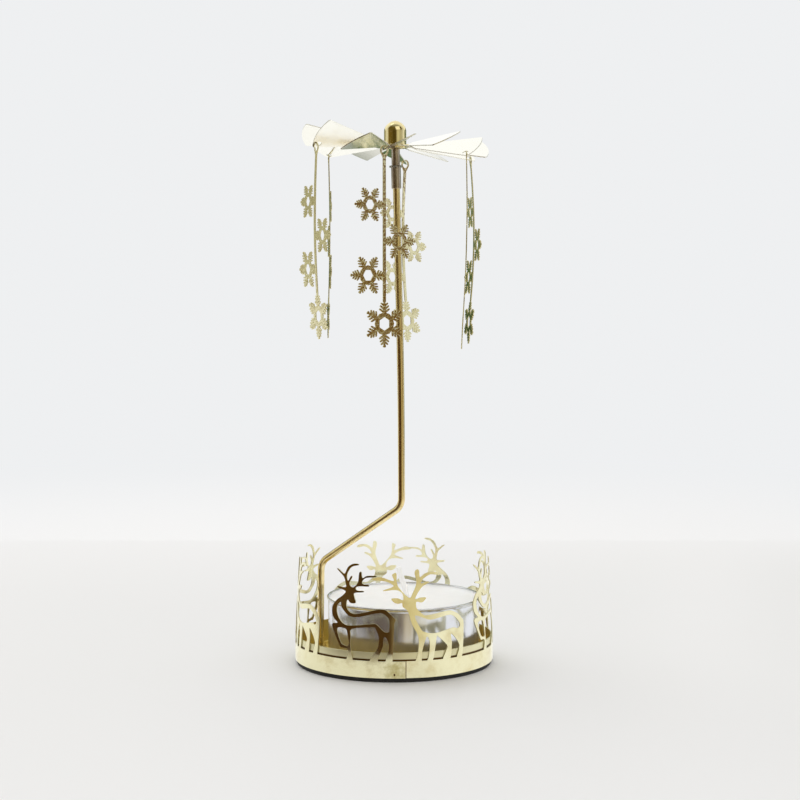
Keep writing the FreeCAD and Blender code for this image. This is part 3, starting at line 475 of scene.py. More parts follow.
def turned(profile, steps=144, wave=None):
    """A profile of (radius, height) turned about Z, closed at poles or as a ring.

    Point (i, j) is (r cos a, r sin a, h) with r and h of row i and a = 2 pi j / steps;
    wave(r, a, h) may change r. A radius of 0 at either end becomes one pole, and a
    profile that starts and ends off the axis is closed upon itself.
    """
    profile = np.asarray(profile, float)
    rows = profile[profile[:, 0] > 0]
    angle = np.linspace(0, FULL_TURN, steps, endpoint=False)
    radius = np.repeat(rows[:, :1], steps, 1)
    height = np.repeat(rows[:, 1:], steps, 1)
    if wave:
        radius = wave(radius, angle, height)
    points = np.stack([radius * np.cos(angle), radius * np.sin(angle), height], -1)
    poles = [(0, 0, end[1]) if end[0] == 0 else None for end in (profile[0], profile[-1])]
    return ringed(points, *poles)


def make_handled_metal():
    """The group that every metal here uses: smears, rolling lines, waves and ripples.

    Smears is a soft mask, Height is for a Bump node, and Roughness is a value round the
    one that is put in, which smears, lines and the cut edges of a sheet raise.
    """
    group = bpy.data.node_groups.new("handled_metal", "ShaderNodeTree")
    for name, value in (("Roughness", 0.15), ("Smear", 0.3), ("Lines", 0.3),
                        ("Ripples", 0.0)):
        socket = group.interface.new_socket(name, in_out="INPUT",
                                            socket_type="NodeSocketFloat")
        socket.default_value = value
    for name in ("Smears", "Height", "Roughness"):
        group.interface.new_socket(name, in_out="OUTPUT", socket_type="NodeSocketFloat")
    given = add_node(group, "NodeGroupInput").outputs
    smears = ease_over(group, noise(group, 0.22, 4.0, roughness=0.6), 0.42, 0.70)
    smear = count(group, "MULTIPLY", smears, given["Smear"])
    lines = noise(group, 6.0, 2.0, (1, 1, 0.12))
    height = count(group, "MULTIPLY_ADD", lines, given["Lines"], noise(group, 0.45, 1.0))
    height = count(group, "MULTIPLY_ADD", noise(group, 1.6, 1.0), given["Ripples"], height)
    rough = count(group, "MULTIPLY_ADD", smear, 0.35, given["Roughness"])
    cut_edge = add_node(group, "ShaderNodeAttribute", attribute_name="cut_edge")
    rough = count(group, "MULTIPLY_ADD", cut_edge.outputs["Fac"], 0.4, rough)
    rough = count(group, "MULTIPLY_ADD", count(group, "SUBTRACT", lines, 0.5),
                  count(group, "MULTIPLY", given["Lines"], 0.12), rough)
    add_node(group, "NodeGroupOutput", {"Smears": smear, "Height": height,
                                        "Roughness": rough})
    return group


handled_metal = make_handled_metal()


def metal(name, clean, tarnished, roughness, smear, lines, bump, patches=(),
          metallic=1.0, ripples=0.0):
    """A bare or plated metal: its clean and its tarnished colour, gloss and marks.

    Each patch is (mask, colour): mask(tree) gives a value from 0 to 1 over the piece.
    """
    material, tree = new_material(name)
    marks = add_node(tree, "ShaderNodeGroup", {}, node_tree=handled_metal)
    for socket, value in (("Roughness", roughness), ("Smear", smear), ("Lines", lines),
                          ("Ripples", ripples)):
        marks.inputs[socket].default_value = value
    colour = blend_colours(tree, marks.outputs["Smears"], clean, tarnished)
    for mask, patch in patches:
        colour = blend_colours(tree, mask(tree), colour, patch)
    show(tree, add_node(tree, "ShaderNodeBsdfPrincipled", {
        "Base Color": colour, "Metallic": metallic, "Roughness": marks.outputs["Roughness"],
        "Normal": bumps(tree, marks.outputs["Height"], bump, METAL_SKIN)}))
    return material


def axes(tree):
    """The piece's x, y and z in millimetres."""
    return add_node(tree, "ShaderNodeSeparateXYZ", {0: millimetres(tree)}).outputs


def squares(tree, a, b):
    """The sum of the squares of a and b."""
    return count(tree, "MULTIPLY_ADD", a, a, count(tree, "MULTIPLY", b, b))


def outer_wall(tree):
    """The pan's outside and rim, which kept their polish."""
    x, y, _ = axes(tree)
    return ease_over(tree, count(tree, "SQRT", squares(tree, x, y)), *POLISHED_FROM)


def painted_crevice_shade(tree):
    """Painted shade: a brown line on the pan's outside, just above the strip that is rolled
    round it, where the gap behind the strip lies in shade.
    """
    return count(tree, "MULTIPLY", outer_wall(tree),
                 ease_over(tree, axes(tree)["Z"], *CREVICE))


# The pan's outside carries a line of painted shade just above the strip.
pan_gold = metal("pan_gold_sheet", (0.94, 0.76, 0.28, 1), (0.66, 0.48, 0.12, 1),
                 0.42, 0.4, 0.3, 0.2, patches=((outer_wall, POLISHED_GOLD), (painted_crevice_shade, PAINTED_SHADE_BROWN)))
low, inner = PAD_THICKNESS, PAN_RADIUS - PAN_SHEET
outside_run = rounded([(0, low), (PAN_RADIUS, low), (PAN_RADIUS, PAN_RIM),
                       (inner, PAN_RIM)], [PAN_CORNER, RIM_EASE])
inside_run = rounded([(inner, PAN_RIM), (inner, low + PAN_SHEET), (0, low + PAN_SHEET)],
                     PAN_CORNER - PAN_SHEET)
points, faces = turned(np.concatenate([outside_run, inside_run[1:]]), 192)
pan = make_piece("pressed_pan", points, faces, pan_gold)
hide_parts("base_pan")
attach(pan, "base")

# The reindeer band: one strip etched from thin brass-plated sheet, rolled round the pan
# and spot-welded where its ends lap at the front. Four pairs of reindeer are part of the
# sheet: one looks back over its shoulder, the other faces out.
BAND_RADIUS, BAND_SHEET, STAG_HEIGHT = 24.4, 0.25, 22.5
FACING_PLACE, BACK_LOOKING_PLACE = 19, 71
INNER_END, OUTER_END, LAP_EASE, LAP_EDGE = -2.0, 366.6, (8.0, 21.0), 2.80
WELD_SPOT, WELD_DEPTH, WELD_SIZE = (0.4, 1.95), 0.05, 0.3
TINT_MIDDLE, TINT_SIZE, WELD_TINT = (0.6, 2.6), (3.6, 3.4), (0.50, 0.44, 0.20, 1)
STAG_LEANS = ((17, 0.5), (71, 3), (108, 3), (161, 6), (198, 6), (251, 3), (288, 3), (341, 4))
LEAN_POWER, LEAN_SHARE = 1.15, 1.5
SPRUNG, SPRUNG_ABOVE, SPRUNG_FROM, ANTLER_TIP = 1.5, (15.5, 20.0), 12.0, -10.7
BACK_LOOKING_STAG_SHARES = [
    (-0.153, -0.018), (-0.131, 0.067), (-0.144, 0.111), (-0.211, 0.118),
    (-0.236, 0.138), (-0.342, 0.342), (-0.271, 0.369), (-0.324, 0.418),
    (-0.347, 0.480), (-0.342, 0.540), (-0.298, 0.604), (-0.220, 0.662),
    (-0.187, 0.709), (-0.284, 0.736), (-0.284, 0.753), (-0.187, 0.747),
    (-0.191, 0.796), (-0.216, 0.858), (-0.304, 0.927), (-0.287, 0.931),
    (-0.220, 0.889), (-0.196, 0.902), (-0.169, 0.958), (-0.111, 0.996),
    (-0.049, 1.000), (-0.036, 0.987), (-0.111, 0.969), (-0.151, 0.931),
    (-0.176, 0.878), (-0.171, 0.829), (-0.153, 0.822), (-0.131, 0.864),
    (-0.109, 0.864), (-0.140, 0.800), (-0.131, 0.767), (-0.096, 0.753),
    (-0.056, 0.784), (-0.036, 0.829), (-0.029, 0.907), (-0.004, 0.916),
    (0.011, 0.856), (0.060, 0.880), (0.160, 0.883), (0.160, 0.871),
    (0.060, 0.860), (0.022, 0.838), (0.007, 0.807), (0.029, 0.791),
    (0.082, 0.787), (0.082, 0.771), (-0.024, 0.769), (-0.064, 0.751),
    (-0.049, 0.724), (0.022, 0.722), (0.022, 0.709), (-0.078, 0.696),
    (-0.078, 0.653), (-0.060, 0.596), (-0.120, 0.589), (-0.153, 0.622),
    (-0.169, 0.602), (-0.169, 0.551), (-0.144, 0.509), (-0.096, 0.484),
    (-0.031, 0.484), (0.178, 0.536), (0.249, 0.538), (0.291, 0.518),
    (0.393, 0.413), (0.360, 0.396), (0.340, -0.018), (0.280, -0.018),
    (0.271, 0.000), (0.302, 0.107), (0.305, 0.171), (0.291, 0.222),
    (0.264, 0.257), (0.249, 0.220), (0.244, 0.156), (0.193, 0.018),
    (0.191, -0.018), (0.098, -0.018), (0.178, 0.111), (0.200, 0.176),
    (0.202, 0.249), (0.171, 0.333), (0.133, 0.351), (-0.096, 0.322),
    (-0.109, 0.244), (-0.109, 0.142), (-0.080, -0.018),
]
BACK_LOOKING_CUTOUT_SHARES = [
    [(-0.241, 0.588), (-0.280, 0.555), (-0.288, 0.503), (-0.271, 0.446),
     (-0.228, 0.392), (-0.177, 0.361), (-0.104, 0.357), (0.134, 0.387),
     (0.178, 0.381), (0.249, 0.315), (0.284, 0.304), (0.309, 0.323),
     (0.309, 0.424), (0.284, 0.467), (0.242, 0.495), (0.192, 0.501),
     (-0.017, 0.451), (-0.096, 0.448), (-0.153, 0.465), (-0.228, 0.538)],
    [(-0.275, 0.311), (-0.228, 0.181), (-0.194, 0.149), (-0.128, 0.148),
     (-0.148, 0.277), (-0.177, 0.321)],
]
FACING_STAG_SHARES = [
    (-0.131, -0.018), (-0.102, 0.078), (-0.098, 0.251), (-0.164, 0.384),
    (-0.209, 0.522), (-0.262, 0.569), (-0.269, 0.611), (-0.307, 0.604),
    (-0.349, 0.618), (-0.376, 0.658), (-0.313, 0.662), (-0.258, 0.640),
    (-0.264, 0.704), (-0.307, 0.742), (-0.369, 0.749), (-0.444, 0.740),
    (-0.447, 0.751), (-0.358, 0.784), (-0.376, 0.813), (-0.436, 0.842),
    (-0.538, 0.858), (-0.538, 0.876), (-0.476, 0.887), (-0.376, 0.847),
    (-0.351, 0.851), (-0.369, 0.904), (-0.349, 0.922), (-0.324, 0.916),
    (-0.313, 0.791), (-0.198, 0.664), (-0.158, 0.709), (-0.118, 0.816),
    (-0.136, 0.911), (-0.129, 0.947), (-0.102, 0.958), (-0.089, 0.938),
    (-0.084, 0.880), (-0.069, 0.880), (-0.024, 0.913), (0.038, 0.927),
    (0.102, 0.920), (0.124, 0.900), (0.102, 0.891), (0.031, 0.900),
    (-0.031, 0.869), (-0.062, 0.836), (-0.069, 0.807), (0.000, 0.829),
    (0.018, 0.816), (-0.053, 0.778), (-0.107, 0.707), (-0.131, 0.647),
    (-0.078, 0.662), (-0.016, 0.660), (-0.040, 0.624), (-0.069, 0.611),
    (-0.118, 0.620), (-0.122, 0.578), (-0.107, 0.540), (-0.040, 0.480),
    (0.022, 0.476), (0.233, 0.504), (0.302, 0.491), (0.364, 0.458),
    (0.411, 0.407), (0.438, 0.336), (0.413, -0.018), (0.342, -0.018),
    (0.382, 0.124), (0.276, 0.260), (0.284, 0.153), (0.260, -0.018),
    (0.173, -0.018), (0.216, 0.089), (0.224, 0.144), (0.118, 0.244),
    (0.102, 0.231), (0.056, -0.018), (-0.013, -0.018), (0.007, 0.020),
    (0.022, 0.107), (0.022, 0.200), (-0.011, 0.249), (-0.062, 0.082),
    (-0.067, -0.018),
]
FACING_CUTOUT_SHARES = [
    [(-0.136, 0.477), (-0.069, 0.329), (-0.024, 0.298), (0.054, 0.281),
     (0.134, 0.286), (0.302, 0.319), (0.356, 0.304), (0.388, 0.322),
     (0.383, 0.359), (0.347, 0.408), (0.293, 0.448), (0.233, 0.458),
     (0.085, 0.431), (0.007, 0.430)],
]


def flowing(loop, steps=3):
    """A closed line through the loop's points, by the Catmull-Rom curve.

    Between P1 and P2 it is half of 2 P1 + (P2 - P0) t + (2 P0 - 5 P1 + 4 P2 - P3) t^2
    + (3 P1 - P0 - 3 P2 + P3) t^3.
    """
    p1 = np.asarray(loop, float)[:, None]
    p0, p2, p3 = np.roll(p1, 1, 0), np.roll(p1, -1, 0), np.roll(p1, -2, 0)
    t = np.linspace(0, 1, steps, endpoint=False)[None, :, None]
    curve = (2 * p1 + (p2 - p0) * t + (2 * p0 - 5 * p1 + 4 * p2 - p3) * t ** 2
             + (3 * p1 - p0 - 3 * p2 + p3) * t ** 3) / 2
    return curve.reshape(-1, 2)


def round_the_band(shares, azimuth):
    """A stag's outline laid on the unrolled strip, as it looks straight from outside."""
    loop = flowing(shares) * STAG_HEIGHT
    around = np.arcsin(loop[:, 0] / BAND_RADIUS) + math.radians(azimuth)
    return np.stack([around * BAND_RADIUS, loop[:, 1] + PAD_THICKNESS + STRIP_HEIGHT], 1)


weld_middle = (math.radians(360 + WELD_SPOT[0]) * BAND_RADIUS, WELD_SPOT[1])


def smooth_step(value, low, high):
    """0 below low, 1 above high, and 3t^2 - 2t^3 between."""
    t = np.clip((value - low) / (high - low), 0, 1)
    return t * t * (3 - 2 * t)


def band_place(u, v, depth):
    """The unrolled strip rolled up: the lapped inner end lies one sheet further in.

    The angle is u / R, and the radius R less the lap, the weld's small dent and the
    lean of the nearest stag: the tangent of its angle times the height above the pan's
    rim to the power LEAN_POWER, over LEAN_SHARE. The antler at the strip's inner end is
    sprung out, by the square of the way to its tip.
    """
    azimuth = np.degrees(u / BAND_RADIUS)
    places, leans = np.array(STAG_LEANS).T
    lean = leans[np.abs(azimuth[:, None] - places).argmin(1)]
    lean = np.tan(np.radians(lean)) * np.clip(v - PAN_RIM, 0, None) ** LEAN_POWER / LEAN_SHARE
    lap = BAND_SHEET * (1 - smooth_step(azimuth, *LAP_EASE))
    dent = WELD_DEPTH * np.exp(-((u - weld_middle[0]) ** 2 + (v - weld_middle[1]) ** 2)
                               / WELD_SIZE ** 2)
    to_tip = np.clip((SPRUNG_FROM - azimuth) / (SPRUNG_FROM - ANTLER_TIP), 0, None)
    sprung = SPRUNG * to_tip ** 2 * smooth_step(v, *SPRUNG_ABOVE)
    radius = BAND_RADIUS - BAND_SHEET / 2 + depth - lap - dent - lean + sprung
    angle = np.radians(azimuth)
    return radius * np.sin(angle), -radius * np.cos(angle), v


strip_ends = np.radians([INNER_END, OUTER_END]) * BAND_RADIUS
along = np.linspace(*strip_ends, 370)
strip = np.concatenate([
    np.stack([along, np.full(len(along), PAD_THICKNESS)], 1),
    np.stack([along[::-1], np.full(len(along), STRIP_TOP)], 1)])
shapes, holes = [strip], []
for quarter in range(0, 360, 90):
    for place, outline, cutouts in (
            (FACING_PLACE, FACING_STAG_SHARES, FACING_CUTOUT_SHARES),
            (BACK_LOOKING_PLACE, BACK_LOOKING_STAG_SHARES, BACK_LOOKING_CUTOUT_SHARES)):
        shapes.append(round_the_band(outline, quarter + place))
        holes += [round_the_band(cutout, quarter + place) for cutout in cutouts]
weld_rings = [circle(WELD_SIZE * share, 12, weld_middle) for share in (0.3, 0.8, 1.3, 1.9)]


def at_the_front(tree, mask):
    """A mask kept to the strip's front, below the stags."""
    _, y, z = axes(tree)
    return count(tree, "MULTIPLY", mask, count(
        tree, "MULTIPLY", ease_over(tree, y, 0, -1), ease_over(tree, z, 5.3, 5.0)))


def heat_tint(tree):
    """The olive stain that the spot weld left beside the lap's edge.

    It ends where the squares of x and z, in the stain's own sizes, and a noise add up.
    """
    x, _, z = axes(tree)
    offs = [count(tree, "DIVIDE", count(tree, "SUBTRACT", value, middle), size)
            for value, middle, size in zip((x, z), TINT_MIDDLE, TINT_SIZE)]
    ragged = count(tree, "MULTIPLY_ADD", noise(tree, 0.9, 3.0), 1.6, squares(tree, *offs))
    stain = count(tree, "MULTIPLY", ease_over(tree, ragged, 1.8, 0.5),
                  ease_over(tree, x, LAP_EDGE, LAP_EDGE - 0.08))
    return at_the_front(tree, stain)


def lap_shadow(tree):
    """The thin dark gap beside the lap's free edge."""
    x = axes(tree)["X"]
    return at_the_front(tree, count(
        tree, "MULTIPLY", ease_over(tree, x, LAP_EDGE - 0.04, LAP_EDGE),
        ease_over(tree, x, LAP_EDGE + 0.22, LAP_EDGE + 0.12)))


def weld_pit_shade(tree):
    """Painted shade: a dark dot in the pit in the middle of the spot weld, where the shallow
    dent itself doesn't show.
    """
    x, _, z = axes(tree)
    place = (BAND_RADIUS * math.sin(math.radians(WELD_SPOT[0])), WELD_SPOT[1])
    offs = [count(tree, "SUBTRACT", value, middle) for value, middle in zip((x, z), place)]
    away = count(tree, "SQRT", squares(tree, *offs))
    return at_the_front(tree, ease_over(tree, away, 0.30, 0.16))


# The band has painted shade beside the lap's free edge and in the weld's pit; the olive heat
# tint is a stain.
band_gold = metal("band_gold_plate", POLISHED_GOLD, TARNISHED_GOLD, 0.13, 0.35, 0.3, 0.22,
                  patches=((heat_tint, WELD_TINT), (lap_shadow, PAINTED_SHADE_BROWN), (weld_pit_shade, PAINTED_SHADE_BROWN)))
points, faces, corners = cut_sheet(shapes, holes, 0.7, band_place, BAND_SHEET, weld_rings)
band = make_piece("etched_reindeer_band", points, faces, band_gold, corners)
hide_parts("reindeer_band")
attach(band, "base")

# The tealight's cup: thin pressed aluminium with a rolled rim. Its wall is drawn, which
# leaves fine upright creases. It stands loose in the pan, a little right of the middle.
TEALIGHT_MIDDLE, TEALIGHT_LOW = (2.4, 0), PAD_THICKNESS + PAN_SHEET
TEALIGHT_HEIGHT, RIM_REACH, WALL_RADIUS, CUP_SHEET, CUP_CORNER = 15.0, 19.0, 18.65, 0.2, 1.0
CREASE, CREASE_WAVES = 0.035, ((41, 1.0, 1.0), (67, 0.7, 2.3), (23, 0.5, 0.0))
CREASE_FOOT, CREASE_HEAD = (1.0, 4.0), (12.0, 13.8)
WALL_TOP, WALL_ROWS, ROLL = TEALIGHT_HEIGHT - 1.0, 18, (-60, 200)


def creased(radius, angle, height):
    """The wall's drawing creases: a mean of waves round the cup, none at rim or floor."""
    wave = (sum(size * np.sin(times * angle + start) for times, size, start in CREASE_WAVES)
            / sum(size for times, size, start in CREASE_WAVES))
    mid = smooth_step(height, *CREASE_FOOT) * (1 - smooth_step(height, *CREASE_HEAD))
    return radius - CREASE * (0.5 + 0.5 * wave) * mid * (radius > WALL_RADIUS - 0.5)


def standing(points, middle, low):
    """Points moved from their own axis and foot to where the piece stands."""
    return points + np.array([middle[0], middle[1], low])


aluminium = metal("drawn_aluminium", (0.81, 0.83, 0.87, 1), (0.63, 0.64, 0.66, 1),
                  0.20, 0.20, 0.3, 0.10, metallic=0.88)
turn = np.radians(np.linspace(*ROLL, 14))
rim_radius = (RIM_REACH - WALL_RADIUS + CUP_SHEET) / 2
rim_middle = (WALL_RADIUS - CUP_SHEET + rim_radius, TEALIGHT_HEIGHT - rim_radius)
rim_roll = np.stack([np.cos(turn), np.sin(turn)], 1) * rim_radius + rim_middle
outside_run = rounded([(0, 0), (WALL_RADIUS, 0), (WALL_RADIUS, WALL_TOP)], CUP_CORNER)
wall_run = np.stack([np.full(WALL_ROWS, WALL_RADIUS),
                     np.linspace(CUP_CORNER + 0.3, WALL_TOP - 0.1, WALL_ROWS)], 1)
inner = WALL_RADIUS - CUP_SHEET
inside_run = rounded([(inner, WALL_TOP + CUP_SHEET), (inner, CUP_SHEET), (0, CUP_SHEET)],
                     CUP_CORNER)
profile = np.concatenate([outside_run[:-1], wall_run, outside_run[-1:], rim_roll, inside_run])
points, faces = turned(profile, 360, creased)
cup = make_piece("tealight_drawn_cup", standing(points, TEALIGHT_MIDDLE, TEALIGHT_LOW),
                 faces, aluminium)
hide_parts("tealight_cup")
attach(cup, "tealight")

# The wax: white paraffin poured into the cup. It creeps up a little at the cup and at the
# wick, and has shrunk into a shallow dish between. The wick's tin foot is inside it.
WAX_TOP, WAX_SIDE, WAX_DISH, WAX_CREEP = 14.3, 18.4, 0.16, 0.30
CREEP_AT_CUP, CREEP_AT_WICK, WICK_OFFSET, WICK_RADIUS = 0.45, 0.5, 0.9, 0.7


def recoat(node, material):
    """Gives a hidden piece, which keeps its CAD shape, its material."""
    frame["nodes"][node].data.materials.clear()
    frame["nodes"][node].data.materials.append(material)


wax, tree = new_material("white_paraffin")
cloud, grain = noise(tree, 0.35, 3.0), noise(tree, 3.0, 2.0)
show(tree, add_node(tree, "ShaderNodeBsdfPrincipled", {
    "Base Color": colour_bands(tree, cloud, [
        (0.35, (0.95, 0.95, 0.94)), (0.65, (0.98, 0.98, 0.975))]),
    "Roughness": ease_over(tree, grain, 0.3, 0.7, 0.36, 0.52),
    "Subsurface Weight": 0.35, "Subsurface Radius": (1.0, 0.9, 0.8),
    "Subsurface Scale": 1.2 * MM,
    "Normal": bumps(tree, count(tree, "MULTIPLY_ADD", grain, 0.25, cloud), 0.35, 0.12)}))

reach = np.concatenate([np.linspace(WAX_SIDE, WAX_SIDE - 2, 10), np.linspace(16, 1, 16)[:-1],
                        np.linspace(1, 0.3, 5)])
top = (WAX_TOP - WAX_DISH * (1 - (reach / WAX_SIDE) ** 4)
       + WAX_CREEP * np.exp(-(WAX_SIDE - reach) / CREEP_AT_CUP))
points, faces = turned(np.concatenate([
    rounded([(0, CUP_SHEET), (WAX_SIDE, CUP_SHEET), (WAX_SIDE, WAX_TOP)], CUP_CORNER)[:-1],
    np.stack([reach, top], 1), [(0, top[-1])]]), 144)
near_wick = np.hypot(points[:, 0] - WICK_OFFSET, points[:, 1])
on_top = points[:, 2] > WAX_TOP / 2
points[:, 2] += on_top * WAX_CREEP * np.exp(
    -np.maximum(near_wick - WICK_RADIUS, 0) / CREEP_AT_WICK)
candle = make_piece("poured_wax", standing(points, TEALIGHT_MIDDLE, TEALIGHT_LOW), faces, wax)
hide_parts("candle_wax")
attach(candle, "tealight")
recoat("wick_sustainer", aluminium)

# The wick: braided white cotton, dipped in wax and not yet lit, held upright by its foot
# and leaning to the left above the wax, where it is cut off square.
WICK_TOP, WICK_BEND, WICK_RINGS = (2.2, 21.7), 3.2, 90
BRAID_TURNS, BRAID_DEPTH = 26, 0.05


def tube(path, radius, across, sides=20, wave=None):
    """A round bar along a path in a plane, closed by a pole at each end.

    Ring i is P + r (cos a S + sin a B): B is the plane's normal, and S is B x T with T
    the path's tangent. wave(r, a, share) may change r along it.
    """
    path = np.asarray(path, float)
    across = np.asarray(across, float)
    tangent = np.gradient(path, axis=0)
    tangent /= np.linalg.norm(tangent, axis=1, keepdims=True)
    side = np.cross(across, tangent)
    angle = np.linspace(0, FULL_TURN, sides, endpoint=False)
    reach = np.broadcast_to(np.asarray(radius, float).reshape(-1, 1), (len(path), sides))
    if wave:
        reach = wave(reach, angle, np.linspace(0, 1, len(path))[:, None])
    points = (path[:, None] + (reach * np.cos(angle))[..., None] * side[:, None]
              + (reach * np.sin(angle))[..., None] * across)
    return ringed(points, path[0], path[-1])


def braided(radius, angle, share):
    """Two sets of strands that wind against each other stand proud of the core.

    They add the depth times the greater of |cos(2a + n pi t)| and |cos(2a - n pi t)|, with
    n turns and t the share of the length.
    """
    one = np.abs(np.cos(2 * angle + BRAID_TURNS * math.pi * share))
    other = np.abs(np.cos(2 * angle - BRAID_TURNS * math.pi * share))
    return radius * (1 - BRAID_DEPTH) + radius * BRAID_DEPTH * np.maximum(one, other)


cotton, tree = new_material("waxed_cotton")
fibres = noise(tree, 5.0, 4.0, (1, 1, 0.4))
show(tree, add_node(tree, "ShaderNodeBsdfPrincipled", {
    "Base Color": colour_bands(tree, fibres, [
        (0.3, (0.93, 0.92, 0.90)), (0.6, (0.98, 0.98, 0.97))]),
    "Roughness": 0.62, "Subsurface Weight": 0.9, "Subsurface Radius": (1.0, 1.0, 1.0),
    "Subsurface Scale": 1.6 * MM, "Normal": bumps(tree, fibres, 0.4, 0.05)}))

bends = rounded([(0, 0.02), (0, WAX_TOP), (-WICK_TOP[0], WICK_TOP[1])], WICK_BEND, 12)
run = np.linspace(0, 1, WICK_RINGS)
length = np.concatenate([[0], np.cumsum(np.linalg.norm(np.diff(bends, axis=0), axis=1))])
line = np.stack([np.interp(run * length[-1], length, bends[:, 0]), np.zeros(WICK_RINGS),
                 np.interp(run * length[-1], length, bends[:, 1])], 1)
ends = WICK_RADIUS * np.sqrt(1 - 0.3 * (2 * run - 1) ** 40)
points, faces = tube(line, ends, (0, 1, 0), 28, braided)
wick = make_piece("braided_wick", standing(
    points, (TEALIGHT_MIDDLE[0] + WICK_OFFSET, 0), TEALIGHT_LOW + CUP_SHEET), faces, cotton)
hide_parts("candle_wick")
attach(wick, "tealight")

# The rod: one gold-coloured brass wire, bent cold. It is riveted through the pan behind
# the tealight on the left, leans over the flame and rises, slightly bowed, to the needle.
ROD_RADIUS, ROD_TURN = 0.85, math.radians(151.2)
FOOT_WAY = np.array([math.cos(ROD_TURN), math.sin(ROD_TURN), 0])
ROD_CORNERS = [(21.8, 0.6), (21.4, 22.9), (-1.78, 38.5), (-1.62, 69.0), (-0.248, 119.975)]
ROD_EASES, LONG_RUN = [2.1, 2.1, 14.0], 4
ROD_PROFILE = [(0, 0.55), (1.5, 0.55), (1.5, 1.05), (0.9, 1.2), (0.9, 1.35), (1.5, 1.35),
               (1.5, 1.75), (0.85, 1.75), (0, 1.76)]

rod_gold = metal("rod_gold_plate", (0.92, 0.77, 0.42, 1), (0.66, 0.47, 0.16, 1),
                 0.19, 0.35, 0.15, 0.04)
bends = rounded(ROD_CORNERS, ROD_EASES, 14)
bends = np.concatenate([
    np.linspace(start, end, 9)[:-1] if np.linalg.norm(end - start) > LONG_RUN else [start]
    for start, end in zip(bends, bends[1:])] + [bends[-1:]])
line = FOOT_WAY * bends[:, :1] + np.array([0, 0, 1]) * bends[:, 1:] + [ROTOR_X, 0, 0]
points, faces = tube(line, ROD_RADIUS, np.cross(FOOT_WAY, (0, 0, 1)), 32)
foot_points, foot_faces = turned(rounded(ROD_PROFILE, 0.06, 3), 48)
foot_points = foot_points + FOOT_WAY * ROD_CORNERS[0][0] + [ROTOR_X, 0, 0]
faces += [[corner + len(points) for corner in face] for face in foot_faces]
rod = make_piece("bent_rod", np.concatenate([points, foot_points]), faces, rod_gold)
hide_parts("support_rod")
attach(rod, "base")

# The sleeve: a grey-brown metal tube crimped over the rod's end. It leans with the rod,
# as the ring, the holder and the needle above it do, about the needle's point.
POINT_HEIGHT = 129.175
ROD_LEAN = math.atan2(1.62, POINT_HEIGHT - 69.0)
SLEEVE_LOW, SLEEVE_TOP, SLEEVE_RADIUS, SLEEVE_BORE = -13.0, -7.9, 1.18, 0.88


def leaning(points):
    """Points below the needle's point, turned about it by the rod's lean, and placed."""
    tilt = Vector(-np.cross(FOOT_WAY, (0, 0, 1)))
    turn = np.array(Matrix.Rotation(ROD_LEAN, 3, tilt))
    return points @ turn.T + [ROTOR_X, 0, POINT_HEIGHT]


sleeve_metal = metal("sleeve_nickel", (0.56, 0.50, 0.43, 1), (0.30, 0.24, 0.17, 1),
                     0.28, 0.5, 0.6, 0.4)
points, faces = turned(rounded([
    (SLEEVE_BORE, SLEEVE_LOW + 0.3), (SLEEVE_BORE, SLEEVE_LOW), (SLEEVE_RADIUS, SLEEVE_LOW),
    (SLEEVE_RADIUS, SLEEVE_TOP), (SLEEVE_BORE, SLEEVE_TOP),
    (SLEEVE_BORE, SLEEVE_LOW + 0.35)], 0.12), 48)
sleeve = make_piece("crimped_sleeve", leaning(points), faces, sleeve_metal)
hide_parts("pivot_sleeve")
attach(sleeve, "base")

# The holder: a narrower socket of the same metal that is pressed into the sleeve's top,
# goes up into the cap and carries the needle.
HOLDER_TOP, HOLDER_RADIUS, NEEDLE_BORE = -2.15, 1.04, 0.3
SPIGOT_RADIUS, SPIGOT_DEPTH = 0.85, 1.27

points, faces = turned(rounded([
    (0, SLEEVE_TOP - SPIGOT_DEPTH), (SPIGOT_RADIUS, SLEEVE_TOP - SPIGOT_DEPTH),
    (SPIGOT_RADIUS, SLEEVE_TOP), (HOLDER_RADIUS, SLEEVE_TOP), (HOLDER_RADIUS, HOLDER_TOP),
    (NEEDLE_BORE, HOLDER_TOP), (0, HOLDER_TOP + 0.01)], [0.1, 0.02, 0.02, 0.3, 0.05], 4), 48)
holder = make_piece("needle_socket", leaning(points), faces, sleeve_metal)
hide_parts("needle_holder")
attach(holder, "base")

# The ring: a small ring of clear, slightly smoky plastic round the holder's foot. It
# lies on the sleeve's end.
RING_RADIUS, RING_BORE, RING_TOP = 1.62, 1.07, SLEEVE_TOP + 0.45

ring_plastic, tree = new_material("clear_ring")
show(tree, add_node(tree, "ShaderNodeBsdfPrincipled", {
    "Base Color": colour_bands(tree, noise(tree, 2.0, 2.0), [
        (0.3, (0.50, 0.46, 0.38)), (0.7, (0.68, 0.65, 0.58))]),
    "Roughness": 0.12, "IOR": 1.49, "Transmission Weight": 0.9}))
points, faces = turned(rounded([
    (RING_BORE, SLEEVE_TOP + 0.2), (RING_BORE, SLEEVE_TOP), (RING_RADIUS, SLEEVE_TOP),
    (RING_RADIUS, RING_TOP), (RING_BORE, RING_TOP), (RING_BORE, SLEEVE_TOP + 0.25)],
    [0.05, 0.15, 0.15, 0.05], 5), 48)
ring = make_piece("clear_stop_ring", leaning(points), faces, ring_plastic)
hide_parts("sleeve_ring")
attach(ring, "base")

# The needle: a bright steel pin in the holder, on whose point the rotor turns. It is
# hidden in the cap and keeps its CAD shape.
recoat("pivot_needle", metal(
    "needle_steel_bright", (0.62, 0.62, 0.63, 1), (0.40, 0.38, 0.36, 1), 0.15, 0.2, 0.4, 0.2))

